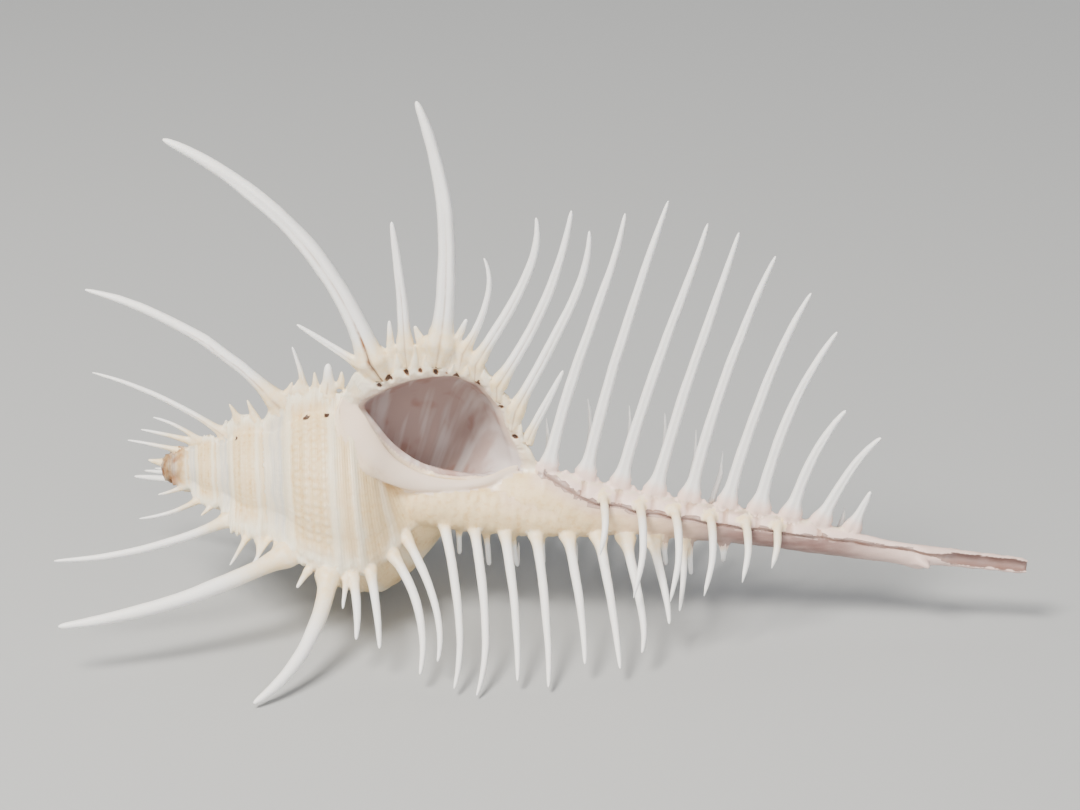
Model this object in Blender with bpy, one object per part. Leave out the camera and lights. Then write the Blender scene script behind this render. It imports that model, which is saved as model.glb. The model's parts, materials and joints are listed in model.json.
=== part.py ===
"""A Venus comb murex shell at life size, in metres, +Z up.

The shell is one natural piece. It lies with its spire to -X and its siphonal canal to +X, on the
spine tips of two of its three combs, with its mouth facing -Y. Stations are distances along the
shell's axis from the point where the spiral would vanish, and clock angles run from the top of the
shell towards its mouth side, the way that it grew.
"""

import math

import bmesh
import bpy
from mathutils import Matrix, Vector

MM = 0.001
NAME = "murex_shell"

# Growth: each turn repeats the last one, larger by this factor, measured from the vanishing point.
GROWTH_PER_TURN = 1.64
WHORLS = 5
AXIS_DIP = math.radians(5.5)
COMB_SPACING = 120

# Outline of the body whorl at the lip, from its suture to the axis: station and radius in mm.
# The seventh point is the first one grown by a turn, where the next whorl would be joined on.
WHORL_OUTLINE = (
    (29.9, 11.6),
    (31.6, 14.4),
    (34.6, 17.0),
    (38.6, 18.9),
    (43.2, 19.8),
    (46.4, 19.8),
    (49.04, 19.02),
    (52.2, 16.2),
    (54.4, 12.3),
    (56.2, 8.4),
    (59.0, 5.6),
    (63.5, 3.9),
    (71.0, 1.6),
    (78.0, 0.0),
)
SUTURE_POINT = 6

# Rings between one varix and the next, in degrees past the varix, and the varix's share of each.
RING_STEPS = (0, 9, 28, 52, 78, 102)
VARIX_SHARE = (1.0, 0.25, 0.0, 0.0, 0.0, 0.15)

# Varix heights in mm, from the lip back, a third of a turn apart, and the share of that height
# which a varix has at each point of the whorl outline.
VARIX_HEIGHTS = (5.0, 3.0, 1.6, 3.8, 2.4, 2.8, 1.8, 1.4, 1.2, 0.8, 0.7, 0.6, 0.5, 0.4, 0.3, 0.0)
VARIX_WEIGHT = (0.0, 0.92, 1.0, 0.92, 0.94, 0.62, 0.35, 0.3, 0.5, 0.3, 0.25, 0.1, 0.0, 0.0)

# Siphonal canal: station, lift of its centre above the axis, and radius, in mm.
CANAL = (
    (40.0, 0.0, 2.4),
    (48.0, 0.6, 3.2),
    (56.0, 1.3, 4.0),
    (62.5, 1.8, 3.9),
    (69.0, 1.4, 3.3),
    (76.0, 1.1, 2.9),
    (84.5, 0.9, 2.6),
    (92.0, 0.8, 2.3),
    (99.0, 0.4, 2.1),
    (106.5, 0.0, 1.8),
    (112.5, -0.3, 1.6),
    (115.5, -0.5, 1.8),
    (117.5, -0.1, 1.4),
    (125.0, 0.0, 1.2),
    (131.2, 0.0, 1.15),
)
CREST_HEIGHT = 0.9
CANAL_SIDES = 10
SLIT_CLOCK = 52
SLIT_RADIUS = 0.55
TROUGH_START = 118.0

# Mouth section in the plane of the lip: station and radius in mm. It is swept back into the whorl.
MOUTH_SECTION = (
    (32.4, 12.8),
    (35.4, 15.6),
    (39.2, 17.5),
    (43.4, 18.5),
    (47.2, 18.1),
    (50.4, 15.8),
    (52.8, 11.8),
    (55.0, 7.6),
    (57.2, 5.0),
    (53.6, 4.2),
    (48.0, 4.3),
    (42.0, 5.0),
    (37.6, 7.2),
    (34.4, 10.2),
)
MOUTH_CENTRE = (44.5, 11.2)
MOUTH_SWEEP = ((-190, 0.15), (-180, 0.55), (-150, 0.8), (-115, 0.92), (-80, 0.98), (-45, 1.0),
               (-20, 1.0), (-7, 1.02), (1, 1.13), (14, 1.18), (32, 1.22), (52, 1.28), (75, 1.34))

# Callus around the inner side of the mouth: station, radius, clock angle and thickness.
CALLUS = (
    (30.6, 12.6, -2, 1.6),
    (31.2, 10.9, 12, 2.1),
    (32.4, 9.6, 26, 2.2),
    (34.6, 8.2, 37, 2.0),
    (37.6, 6.2, 42, 1.6),
    (41.2, 5.0, 43, 1.3),
    (45.2, 4.5, 43, 1.15),
    (49.4, 4.6, 34, 1.05),
    (53.2, 5.0, 18, 1.0),
    (57.6, 6.4, 2, 0.9),
)

# Main spines of the upper comb, which stands on the outer lip and on the canal: station of the
# foot, length, lean of the foot towards the canal, sweep, flick of the tip in degrees, and radius.
UPPER_COMB = (
    (32.4, 45.3, -22, -50, 0, 1.50),
    (31.2, 11.3, -62, 0, 0, 0.60),
    (35.2, 4.7, -8, 0, 0, 0.50),
    (37.2, 19.2, -8, -5, 0, 0.85),
    (39.6, 3.0, -26, 0, 0, 0.50),
    (42.2, 36.8, 4, -26, -6, 1.40),
    (44.2, 4.8, 18, 0, 0, 0.55),
    (45.6, 15.6, 26, -22, -44, 0.75),
    (47.6, 24.5, 26, -6, -36, 0.85),
    (51.0, 29.2, 28, -22, -4, 0.85),
    (54.0, 30.0, 22, -2, -28, 0.85),
    (56.0, 12.6, 20, 0, 0, 0.65),
    (59.6, 41.3, 6, 15, -18, 0.85),
    (65.2, 44.2, 6, 8, -2, 0.85),
    (70.4, 42.4, 7, 12, -10, 0.85),
    (75.6, 42.0, 8, 6, -4, 0.85),
    (80.8, 39.6, 6, 10, 2, 0.85),
    (86.3, 35.2, 7, 10, 6, 0.85),
    (91.1, 30.2, 4, 20, 4, 0.85),
    (95.8, 18.6, 8, 16, 12, 0.85),
    (100.3, 16.0, 16, 14, 14, 0.80),
    (105.0, 6.4, 17, 0, 0, 0.65),
)

# Main spines of the lower comb, a third of a turn and two thirds of a turn older than the others.
LOWER_COMB = (
    (23.6, 35.0, -48, -25, 0, 1.25),
    (30.0, 25.0, 4, -38, -10, 1.20),
    (27.2, 4.0, -20, 0, 0, 0.45),
    (32.6, 6.0, 3, 0, 0, 0.50),
    (33.4, 11.4, 18, -14, 0, 0.65),
    (35.7, 14.0, 18, -8, 0, 0.65),
    (38.4, 21.8, 40, -42, 0, 0.70),
    (40.0, 22.6, 34, -22, -16, 0.65),
    (45.0, 30.0, 18, -9, -15, 0.70),
    (49.6, 30.2, 15, -7, -18, 0.70),
    (54.2, 26.8, 14, -5, -4, 0.70),
    (58.8, 27.2, 14, -6, -4, 0.70),
    (63.5, 23.0, 16, -6, -4, 0.70),
    (68.1, 23.4, 15, -3, -2, 0.70),
    (72.1, 20.4, 15, 4, -26, 0.70),
    (76.0, 15.0, 18, -4, -8, 0.65),
    (80.6, 12.2, 7, -10, 0, 0.50),
)
SHORT_SPINE = 10.0

# Secondary spines on the mouth side of each comb, between the main ones on the canal: station and
# length. Each leaves the canal a little round from the comb, square to it, and hooks onwards.
SECONDARIES = ((67.8, 11.5), (73.3, 18.0), (78.5, 17.5), (83.8, 15.5), (89.0, 12.0), (93.8, 8.5))
SECONDARY_RADIUS = 0.6
SECONDARY_ROOT = 16
SECONDARY_HEADINGS = (98, 124, 142)
SECONDARY_LEANS = (9, 5, -6)
SECONDARY_WIDTHS = (1.0, 0.8, 0.2)

# The three combs of the last whorl: clock angle, growth in turns since, and swing of the tips.
UPPER_CLOCK, LOWER_CLOCK, BACK_CLOCK = 0, 120, 240
BACK_SIZE = GROWTH_PER_TURN ** (-1 / 3)
LOWER_SIZE = GROWTH_PER_TURN ** (-2 / 3)
BACK_SWING = 7

# Spines left on the older whorls: clock angle, station, foot radius, length, lean, sweep, radius.
OLD_SPINES = (
    (0, 18.8, 12.6, 32.4, -46, -37, 1.20),
    (0, 23.2, 14.0, 7.6, -12, -14, 0.55),
    (0, 26.5, 13.2, 6.0, -3, 0, 0.95),
    (0, 11.4, 6.3, 21.2, -58, -24, 0.60),
    (0, 7.9, 4.7, 7.6, -52, -32, 0.40),
    (0, 6.2, 4.5, 7.0, -80, -6, 0.40),
    (0, 5.3, 2.7, 8.0, -82, -6, 0.40),
    (120, 14.0, 8.4, 26.2, -51, -29, 0.85),
    (120, 9.2, 5.4, 9.4, -44, -32, 0.45),
    (120, 7.2, 3.0, 4.8, -50, -20, 0.40),
    (240, 16.6, 9.6, 25.0, -42, -36, 0.95),
    (240, 10.2, 5.8, 13.0, -52, -28, 0.60),
    (240, 6.4, 3.6, 6.0, -60, -20, 0.40),
)

SPINE_MARKS = (0.0, 0.16, 0.4, 0.66, 0.87, 1.0)
SPINE_WIDTHS = (1.0, 0.92, 0.78, 0.58, 0.18)
FOOT_DEPTH = 1.8
FOOT_FLARE = 1.65
TIP_WIDTH = 0.12

SHELL_COLOUR = (0.86, 0.80, 0.70, 1.0)
SHELL_ROUGHNESS = 0.45


def clear_scene():
    """Removes every object that the scene starts with."""
    for thing in list(bpy.data.objects):
        bpy.data.objects.remove(thing, do_unlink=True)


def place(station, radius, clock):
    """Returns the point at a station, radius and clock angle, in metres."""
    angle = math.radians(clock)
    return Vector((station, -radius * math.sin(angle), radius * math.cos(angle))) * MM


def between(table, station, column):
    """Reads a column of a table of stations, straight between its rows."""
    if station <= table[0][0]:
        return table[0][column]
    for low, high in zip(table, table[1:]):
        if station <= high[0]:
            share = (station - low[0]) / (high[0] - low[0])
            return low[column] + share * (high[column] - low[column])
    return table[-1][column]


def ring_angles():
    """Lists how far each ring of the skin is from the lip, in degrees, with its varix share."""
    start = -360 * WHORLS
    rings = []
    for comb in range(3 * WHORLS):
        for step, share in zip(RING_STEPS, VARIX_SHARE):
            rings.append((start + comb * COMB_SPACING + step, share))
    rings.append((0, 1.0))
    return rings


def ring_points(turned, share, count):
    """Returns the points of one ring: the lip's outline, turned back, shrunk and raised in a varix."""
    size = GROWTH_PER_TURN ** (turned / 360)
    height = VARIX_HEIGHTS[round(-turned / COMB_SPACING)]
    points = []
    for index in range(count):
        station, radius = WHORL_OUTLINE[index]
        weight = VARIX_WEIGHT[index]
        if turned <= -360 and index == SUTURE_POINT:
            weight = 0.0
        raised = radius * size + height * share * weight
        points.append(place(station * size, raised, turned))
    return points


def skin_mesh():
    """Builds the closed skin of all whorls, each one joined to the last along its suture."""
    skin = bmesh.new()
    whole = len(WHORL_OUTLINE)
    per_turn = 3 * len(RING_STEPS)
    angles = ring_angles()
    rings = []
    for number, (turned, share) in enumerate(angles):
        count = whole if turned >= -360 else SUTURE_POINT + 1
        verts = [skin.verts.new(point) for point in ring_points(turned, share, count)]
        if number >= per_turn:
            skin.verts.remove(verts[0])
            verts[0] = rings[number - per_turn][SUTURE_POINT]
        rings.append(verts)
    for ring, grown in zip(rings, rings[1:]):
        for low in range(len(ring) - 1):
            skin.faces.new((ring[low], ring[low + 1], grown[low + 1], grown[low]))
    last_whorl = rings[-1 - per_turn:]
    along_axis = [ring[-1] for ring in last_whorl]
    inner_edge = last_whorl[0][SUTURE_POINT + 1:-1]
    skin.faces.new(rings[-1][:-1] + along_axis[::-1] + inner_edge[::-1])
    bmesh.ops.holes_fill(skin, edges=skin.edges)
    bmesh.ops.triangulate(skin, faces=skin.faces)
    bmesh.ops.recalc_face_normals(skin, faces=skin.faces)
    return finished(skin, NAME)


def loft(sections, name):
    """Joins closed sections of equal length into a tube with flat ends."""
    tube = bmesh.new()
    rows = [[tube.verts.new(point) for point in section] for section in sections]
    for row, following in zip(rows, rows[1:]):
        for index in range(len(row)):
            beside = (index + 1) % len(row)
            tube.faces.new((row[index], row[beside], following[beside], following[index]))
    tube.faces.new(rows[0])
    tube.faces.new(rows[-1])
    bmesh.ops.triangulate(tube, faces=tube.faces)
    bmesh.ops.recalc_face_normals(tube, faces=tube.faces)
    return finished(tube, name)


def finished(shape, name):
    """Turns a bmesh into a mesh."""
    mesh = bpy.data.meshes.new(name)
    shape.to_mesh(mesh)
    shape.free()
    return mesh


def canal_mesh():
    """Builds the round siphonal canal, from inside the body whorl to its tip."""
    sections = []
    for station, lift, radius in CANAL:
        centre = place(station, lift, 0)
        section = []
        for side in range(CANAL_SIDES):
            section.append(centre + place(0, radius, 360 * side / CANAL_SIDES))
        sections.append(section)
    return loft(sections, "canal")


def mouth_mesh():
    """Builds the hollow of the mouth, which follows the whorl back and narrows as it goes."""
    sections = []
    for turned, width in MOUTH_SWEEP:
        size = GROWTH_PER_TURN ** (turned / 360)
        section = []
        for station, radius in MOUTH_SECTION:
            wide_station = MOUTH_CENTRE[0] + width * (station - MOUTH_CENTRE[0])
            wide_radius = MOUTH_CENTRE[1] + width * (radius - MOUTH_CENTRE[1])
            section.append(place(wide_station * size, wide_radius * size, turned))
        sections.append(section)
    return loft(sections, "mouth")


def tubes_mesh(paths, sides_setting, name):
    """Makes round tapered tubes along paths of (point, radius), each with filled caps."""
    curve = bpy.data.curves.new(name, "CURVE")
    curve.dimensions = "3D"
    curve.bevel_depth = 1.0
    curve.bevel_resolution = sides_setting
    curve.use_fill_caps = True
    for path in paths:
        spline = curve.splines.new("POLY")
        spline.points.add(len(path) - 1)
        for knot, (point, radius) in zip(spline.points, path):
            knot.co = (*point, 1.0)
            knot.radius = radius * MM
    drawn = bpy.data.objects.new(name, curve)
    bpy.context.scene.collection.objects.link(drawn)
    graph = bpy.context.evaluated_depsgraph_get()
    mesh = bpy.data.meshes.new_from_object(drawn.evaluated_get(graph))
    bpy.data.objects.remove(drawn, do_unlink=True)
    shape = bmesh.new()
    shape.from_mesh(mesh)
    bmesh.ops.remove_doubles(shape, verts=shape.verts, dist=1e-6)
    bmesh.ops.recalc_face_normals(shape, faces=shape.faces)
    shape.to_mesh(mesh)
    shape.free()
    mesh.name = name
    return mesh


def foot_radius(station, clock, size, varix):
    """Returns how far from the axis a comb's surface is at a station."""
    lift = between(CANAL, station, 1) * math.cos(math.radians(clock))
    canal = between(CANAL, station, 2) + lift + CREST_HEIGHT * size
    whorl = between(WHORL_OUTLINE, station / size, 1)
    if station / size < WHORL_OUTLINE[-1][0]:
        shares = tuple((row[0], share) for row, share in zip(WHORL_OUTLINE, VARIX_WEIGHT))
        height = varix * between(shares, station / size, 1)
        return max(canal, whorl * size + height)
    return canal


def spine_path(foot, clock, length, angles, width, swing):
    """Returns a spine's path: it leans by the first angle, sweeps by the second, then flicks."""
    lean, sweep, flick = angles
    station, radius = foot
    short = length < SHORT_SPINE
    marks = SPINE_MARKS[::2] + SPINE_MARKS[-1:] if short else SPINE_MARKS
    root = math.radians(lean)
    depth = min(FOOT_DEPTH, length / 2)
    start = (station - depth * math.sin(root), radius - depth * math.cos(root))
    path = [(place(*start, clock), FOOT_FLARE * width)]
    past = 0.0
    for mark, share in zip(marks[1:], SPINE_WIDTHS[1::2] + (TIP_WIDTH,) if short else SPINE_WIDTHS):
        middle = (past + mark) / 2
        heading = math.radians(lean + sweep * middle + flick * middle**4)
        station += (mark - past) * length * math.sin(heading)
        radius += (mark - past) * length * math.cos(heading)
        path.append((place(station, radius, clock + swing * mark), share * width))
        past = mark
    return path


def comb_paths(table, clock, whorl_size, varix, scale, swing):
    """Lists the main spines of one comb, each on the varix or on the canal."""
    paths = []
    for station, length, lean, sweep, flick, width in table:
        foot_station = station * scale
        foot = (foot_station, foot_radius(foot_station, clock, whorl_size, varix))
        angles = (lean, sweep, flick)
        paths.append(spine_path(foot, clock, length * scale, angles, width * scale, swing))
    return paths


def secondary_paths(clock, size):
    """Lists a comb's secondary spines, which leave its mouth side and hook round."""
    paths = []
    for station, length in SECONDARIES:
        lift = place(0, between(CANAL, station * size, 1), 0)
        radius = between(CANAL, station * size, 2) * 0.8
        point = place(station * size, radius, clock + SECONDARY_ROOT) + lift
        path = [(point, FOOT_FLARE * SECONDARY_RADIUS * size)]
        stride = length * size / len(SECONDARY_HEADINGS)
        for heading, lean, share in zip(SECONDARY_HEADINGS, SECONDARY_LEANS, SECONDARY_WIDTHS):
            along = stride * math.sin(math.radians(lean))
            across = stride * math.cos(math.radians(lean))
            point = point + place(along, across, clock + heading)
            path.append((point, share * SECONDARY_RADIUS * size))
        paths.append(path)
    return paths


def old_paths():
    """Lists the spines left on the older whorls."""
    paths = []
    for clock, station, radius, length, lean, sweep, width in OLD_SPINES:
        paths.append(spine_path((station, radius), clock, length, (lean, sweep, 0), width, 0))
    return paths


def slit_path():
    """Lists the points of the narrow slit along the canal, and of the open trough at its end."""
    path = []
    for station, lift, radius in CANAL[2:]:
        width = SLIT_RADIUS if station < TROUGH_START else 2 * SLIT_RADIUS
        path.append((place(station, lift, 0) + place(0, radius, SLIT_CLOCK), width))
    return path


def add_object(mesh, name, collection, colour=None):
    """Puts a mesh in a collection, as a hidden helper unless it has a colour."""
    thing = bpy.data.objects.new(name, mesh)
    collection.objects.link(thing)
    if colour is None:
        thing.hide_render = True
        thing.display_type = "WIRE"
    return thing


def shell_material():
    """Returns the pale, half-glossy shell material."""
    material = bpy.data.materials.new("shell_aragonite")
    material.use_nodes = True
    surface = material.node_tree.nodes["Principled BSDF"]
    surface.inputs["Base Color"].default_value = SHELL_COLOUR
    surface.inputs["Roughness"].default_value = SHELL_ROUGHNESS
    surface.inputs["Metallic"].default_value = 0.0
    return material


def add_boolean(thing, name, operation, collection):
    """Adds a Boolean with every helper of a collection."""
    boolean = thing.modifiers.new(name, "BOOLEAN")
    boolean.operation = operation
    boolean.operand_type = "COLLECTION"
    boolean.collection = collection
    boolean.solver = "EXACT"
    return boolean


def new_collection(name, hidden):
    """Adds a collection to the scene."""
    collection = bpy.data.collections.new(name)
    bpy.context.scene.collection.children.link(collection)
    collection.hide_render = hidden
    return collection


def stand_on_ground(thing):
    """Dips the axis, then moves the shell so that the middle of its box's floor is the origin."""
    dip = Matrix.Rotation(AXIS_DIP, 4, "Y")
    thing.data.transform(dip)
    xs, ys, zs = ([vertex.co[axis] for vertex in thing.data.vertices] for axis in range(3))
    middle = Vector(((min(xs) + max(xs)) / 2, (min(ys) + max(ys)) / 2, min(zs)))
    thing.data.transform(Matrix.Translation(-middle))


def build_shell():
    """Joins skin, canal, callus and spines, and cuts the mouth and the slit."""
    shell_group = new_collection(NAME, False)
    grown = new_collection("grown_parts", True)
    mouth = new_collection("mouth_cutter", True)
    glaze = new_collection("callus", True)
    slit = new_collection("slit_cutter", True)
    shell = add_object(skin_mesh(), NAME, shell_group, SHELL_COLOUR)
    add_object(canal_mesh(), "canal", grown)
    upper = comb_paths(UPPER_COMB, UPPER_CLOCK, 1.0, VARIX_HEIGHTS[0], 1.0, 0)
    back = comb_paths(UPPER_COMB, BACK_CLOCK, BACK_SIZE, VARIX_HEIGHTS[1], BACK_SIZE, BACK_SWING)
    lower = comb_paths(LOWER_COMB, LOWER_CLOCK, LOWER_SIZE, VARIX_HEIGHTS[2], 1.0, 0)
    for number, path in enumerate(upper + lower + back + old_paths()):
        name = f"main_spine_{number}"
        add_object(tubes_mesh([path], 1, name), name, grown)
    hooks = secondary_paths(UPPER_CLOCK, 1.0)
    hooks += secondary_paths(LOWER_CLOCK, LOWER_SIZE)
    hooks += secondary_paths(BACK_CLOCK, BACK_SIZE)
    for number, path in enumerate(hooks):
        name = f"secondary_spine_{number}"
        add_object(tubes_mesh([path], 0, name), name, grown)
    add_object(mouth_mesh(), "mouth", mouth)
    callus = [(place(station, radius, clock), thick) for station, radius, clock, thick in CALLUS]
    add_object(tubes_mesh([callus], 2, "callus"), "callus", glaze)
    add_object(tubes_mesh([slit_path()], 0, "slit"), "slit", slit)
    add_boolean(shell, "grow", "UNION", grown)
    add_boolean(shell, "open", "DIFFERENCE", mouth)
    add_boolean(shell, "glaze", "UNION", glaze)
    add_boolean(shell, "split", "DIFFERENCE", slit)
    return shell


def main():
    """Builds the shell, joined into one mesh, and stands it on the ground."""
    clear_scene()
    shell = build_shell()
    graph = bpy.context.evaluated_depsgraph_get()
    joined = bpy.data.meshes.new_from_object(shell.evaluated_get(graph))
    shell.modifiers.clear()
    shell.data = joined
    stand_on_ground(shell)
    joined.materials.append(shell_material())
    joined.shade_smooth()
    joined.set_sharp_from_angle(angle=math.radians(40))


main()
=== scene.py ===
"""The looks of a Venus comb murex shell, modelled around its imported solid.

Everything is built in millimetres on the shell's own axes, where the spiral would vanish at the
origin, +X runs down the axis to the siphonal canal and -Y is the side that the mouth faces. The
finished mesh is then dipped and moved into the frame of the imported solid, in metres.

A clock angle runs from the top of the shell towards its mouth side, which is the way it grew. A
station is a distance along the axis, and a size is how large the shell had grown by then, with 1
at the lip.
"""

import json
import logging
import math
from dataclasses import dataclass
from enum import Enum, IntEnum
from functools import partial
from typing import Callable, Optional, Sequence

import bmesh
import bpy
import numpy as np
from mathutils import Matrix, Vector
from mathutils.kdtree import KDTree

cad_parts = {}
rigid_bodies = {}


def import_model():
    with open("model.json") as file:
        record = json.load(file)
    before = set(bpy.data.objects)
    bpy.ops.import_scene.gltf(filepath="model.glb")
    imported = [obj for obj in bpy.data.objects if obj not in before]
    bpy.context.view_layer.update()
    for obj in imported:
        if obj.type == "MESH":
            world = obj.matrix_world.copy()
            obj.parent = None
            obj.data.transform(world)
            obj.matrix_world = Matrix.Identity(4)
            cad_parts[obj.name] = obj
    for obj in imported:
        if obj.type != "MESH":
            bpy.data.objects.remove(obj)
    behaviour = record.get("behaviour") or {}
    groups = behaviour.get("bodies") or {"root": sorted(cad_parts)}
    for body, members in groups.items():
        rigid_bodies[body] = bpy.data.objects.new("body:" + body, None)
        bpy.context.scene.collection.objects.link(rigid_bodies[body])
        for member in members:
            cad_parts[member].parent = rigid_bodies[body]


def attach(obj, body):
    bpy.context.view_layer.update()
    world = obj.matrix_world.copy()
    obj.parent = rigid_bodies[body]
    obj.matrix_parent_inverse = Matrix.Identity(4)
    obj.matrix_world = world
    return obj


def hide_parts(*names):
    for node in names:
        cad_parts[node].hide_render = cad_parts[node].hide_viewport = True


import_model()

log = logging.getLogger("murex")

NODE = "murex_shell"
BODY = "root"
MM = 0.001

# Growth: each turn repeats the last one, larger by this factor, seen from the vanishing point.
GROWTH_PER_TURN = 1.64
COMBS_PER_TURN = 3
COMB_SPACING = 360.0 / COMBS_PER_TURN
AXIS_DIP = math.radians(5.5)
VANISHING_POINT = (-60.103, -6.069, 22.479)
BACK_SWING = 7.0
CREST_HEIGHT = 0.9

# Outline of the body whorl at the lip, from its suture to the axis: station, radius, and the share
# of a varix's height there. The seventh point is the first one grown by a turn, where the next
# whorl would be joined on.
WHORL_OUTLINE = (
    (28.1, 12.07, 0.8),
    (29.8, 13.4, 0.9),
    (31.8, 15.0, 1.0),
    (34.6, 17.0, 1.0),
    (38.6, 18.9, 0.95),
    (43.0, 19.8, 0.94),
    (46.08, 19.8, 0.66),
    (49.04, 19.02, 0.35),
    (52.2, 16.2, 0.3),
    (54.4, 12.3, 0.5),
    (56.2, 8.4, 0.3),
    (59.0, 5.6, 0.25),
    (63.5, 3.9, 0.1),
    (71.0, 1.6, 0.0),
    (78.0, 0.0, 0.0),
)
SUTURE_POINT = 6
SUTURE = WHORL_OUTLINE[0][0]

# Varix heights from the lip back, a third of a turn apart.
VARIX_HEIGHTS = (5.0, 3.0, 1.8, 3.9, 2.4, 3.0, 2.5, 1.6, 1.5, 1.2, 0.8, 0.7, 0.5, 0.4, 0.3, 0.0)

# Siphonal canal: station, lift of its centre above the axis, and radius.
CANAL = (
    (40.0, 0.0, 2.4),
    (48.0, 0.6, 3.2),
    (56.0, 1.3, 4.0),
    (62.5, 1.8, 3.9),
    (69.0, 1.4, 3.3),
    (76.0, 1.1, 2.9),
    (84.5, 0.9, 2.6),
    (92.0, 0.8, 2.3),
    (99.0, 0.4, 2.1),
    (106.5, 0.0, 1.8),
    (112.5, -0.3, 1.6),
    (115.5, -0.5, 1.8),
    (117.5, -0.1, 1.4),
    (125.0, 0.0, 1.2),
    (131.2, 0.0, 1.15),
)

# The slit along the canal, which wanders between the seams of the spines: station and clock angle.
# It opens into a trough at the canal's end.
SLIT = (
    (59.0, 9.0),
    (61.7, 30.0),
    (64.8, 51.0),
    (67.1, 61.0),
    (68.6, 59.0),
    (70.6, 52.0),
    (72.6, 63.0),
    (74.5, 65.0),
    (76.3, 57.0),
    (78.4, 66.0),
    (81.6, 60.0),
    (83.3, 67.0),
    (86.7, 64.0),
    (88.5, 72.0),
    (92.0, 61.0),
    (93.8, 65.0),
    (97.6, 63.0),
    (100.3, 59.0),
    (100.8, 45.0),
    (101.8, 60.0),
    (104.9, 48.0),
    (107.1, 50.0),
    (113.9, 38.0),
    (117.3, 60.0),
    (119.5, 72.0),
    (131.8, 74.0),
)
TROUGH_START = 118.0

# Where the foot of a spine stands on the canal alone.
CANAL_ALONE = 58.0

# Mouth section in the plane of the lip: station and radius. It is swept back into the whorl, by
# turned angle and width. Its margin on the face of the lip is wider by a factor.
MOUTH_SECTION = (
    (32.4, 12.8),
    (35.4, 15.6),
    (39.2, 17.5),
    (43.4, 18.5),
    (47.2, 18.1),
    (50.4, 15.8),
    (52.6, 11.8),
    (54.0, 8.8),
    (54.7, 6.3),
    (52.6, 4.6),
    (48.0, 4.3),
    (42.0, 5.0),
    (37.6, 7.2),
    (34.4, 10.2),
)
MOUTH_CENTRE = (44.5, 11.2)
MARGIN_WIDTH = 1.117
MOUTH_SWEEP = (
    (-190.0, 0.15),
    (-180.0, 0.55),
    (-150.0, 0.8),
    (-115.0, 0.92),
    (-80.0, 0.98),
    (-45.0, 1.0),
    (-20.0, 1.0),
    (-7.0, 1.02),
    (1.0, 1.13),
    (10.0, 1.18),
    (20.0, 1.2),
    (30.0, 1.22),
)

# Callus around the inner side of the mouth. Each row is its inner edge and its outer edge, as
# station, radius and clock, and how far it stands proud.
CALLUS = (
    (31.0, 13.6, -10.0, 28.0, 14.8, -8.0, 0.8),
    (31.3, 13.4, -3.0, 27.8, 14.6, 3.0, 0.8),
    (31.7, 12.9, 2.0, 27.8, 13.3, 13.0, 0.65),
    (32.5, 12.4, 7.0, 28.7, 12.8, 28.0, 0.55),
    (33.4, 11.7, 13.0, 29.8, 12.8, 40.0, 0.55),
    (34.6, 10.8, 19.0, 31.3, 12.5, 48.0, 0.6),
    (36.1, 9.4, 25.0, 33.7, 11.5, 54.0, 0.85),
    (38.0, 7.9, 30.0, 36.4, 8.6, 57.0, 1.0),
    (40.3, 6.9, 34.0, 40.0, 5.8, 60.0, 1.0),
    (43.7, 5.9, 36.0, 43.7, 5.0, 58.0, 0.95),
    (47.4, 5.4, 32.0, 47.3, 4.6, 50.0, 0.9),
    (51.4, 5.6, 20.0, 51.4, 4.9, 30.0, 0.85),
    (53.4, 6.1, 9.0, 53.5, 5.4, 14.0, 0.8),
    (55.4, 6.9, -1.0, 55.5, 6.2, 4.0, 0.7),
)

# The wall between the callus and the lower comb: station, radius and distance of its centre from
# the axis, towards clock 92.
BASE_WALL = (
    (34.0, 2.2, 1.6),
    (38.0, 3.4, 1.6),
    (44.0, 3.7, 1.6),
    (50.0, 3.65, 1.6),
    (56.0, 3.5, 1.4),
    (62.0, 3.2, 1.1),
    (67.0, 2.8, 0.7),
    (72.0, 2.0, 0.4),
)

# Main spines of the upper comb, which stands on the outer lip and on the canal: station of the
# foot, length, lean of the foot towards the canal, sweep, flick of the tip in degrees, and radius.
UPPER_COMB = (
    (32.4, 45.3, -22, -50, 0, 1.50),
    (31.2, 11.3, -62, 0, 0, 0.60),
    (35.2, 4.7, -8, 0, 0, 0.50),
    (37.2, 19.2, -8, -5, 0, 0.85),
    (39.6, 3.0, -26, 0, 0, 0.50),
    (42.2, 36.8, 4, -26, -6, 1.40),
    (44.2, 4.8, 18, 0, 0, 0.55),
    (45.6, 15.6, 26, -22, -44, 0.75),
    (47.6, 24.5, 26, -6, -36, 0.85),
    (51.0, 29.2, 28, -22, -4, 0.85),
    (54.0, 30.0, 22, -2, -28, 0.85),
    (56.0, 12.6, 20, 0, 0, 0.65),
    (59.6, 41.3, 6, 15, -18, 0.85),
    (65.2, 44.2, 6, 8, -2, 0.85),
    (70.4, 42.4, 7, 12, -10, 0.85),
    (75.6, 42.0, 8, 6, -4, 0.85),
    (80.8, 39.6, 6, 10, 2, 0.85),
    (86.3, 35.2, 7, 10, 6, 0.85),
    (91.1, 30.2, 4, 20, 4, 0.85),
    (95.8, 18.6, 8, 16, 12, 0.85),
    (100.3, 16.0, 16, 14, 14, 0.80),
    (105.0, 6.4, 17, 0, 0, 0.65),
)

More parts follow.
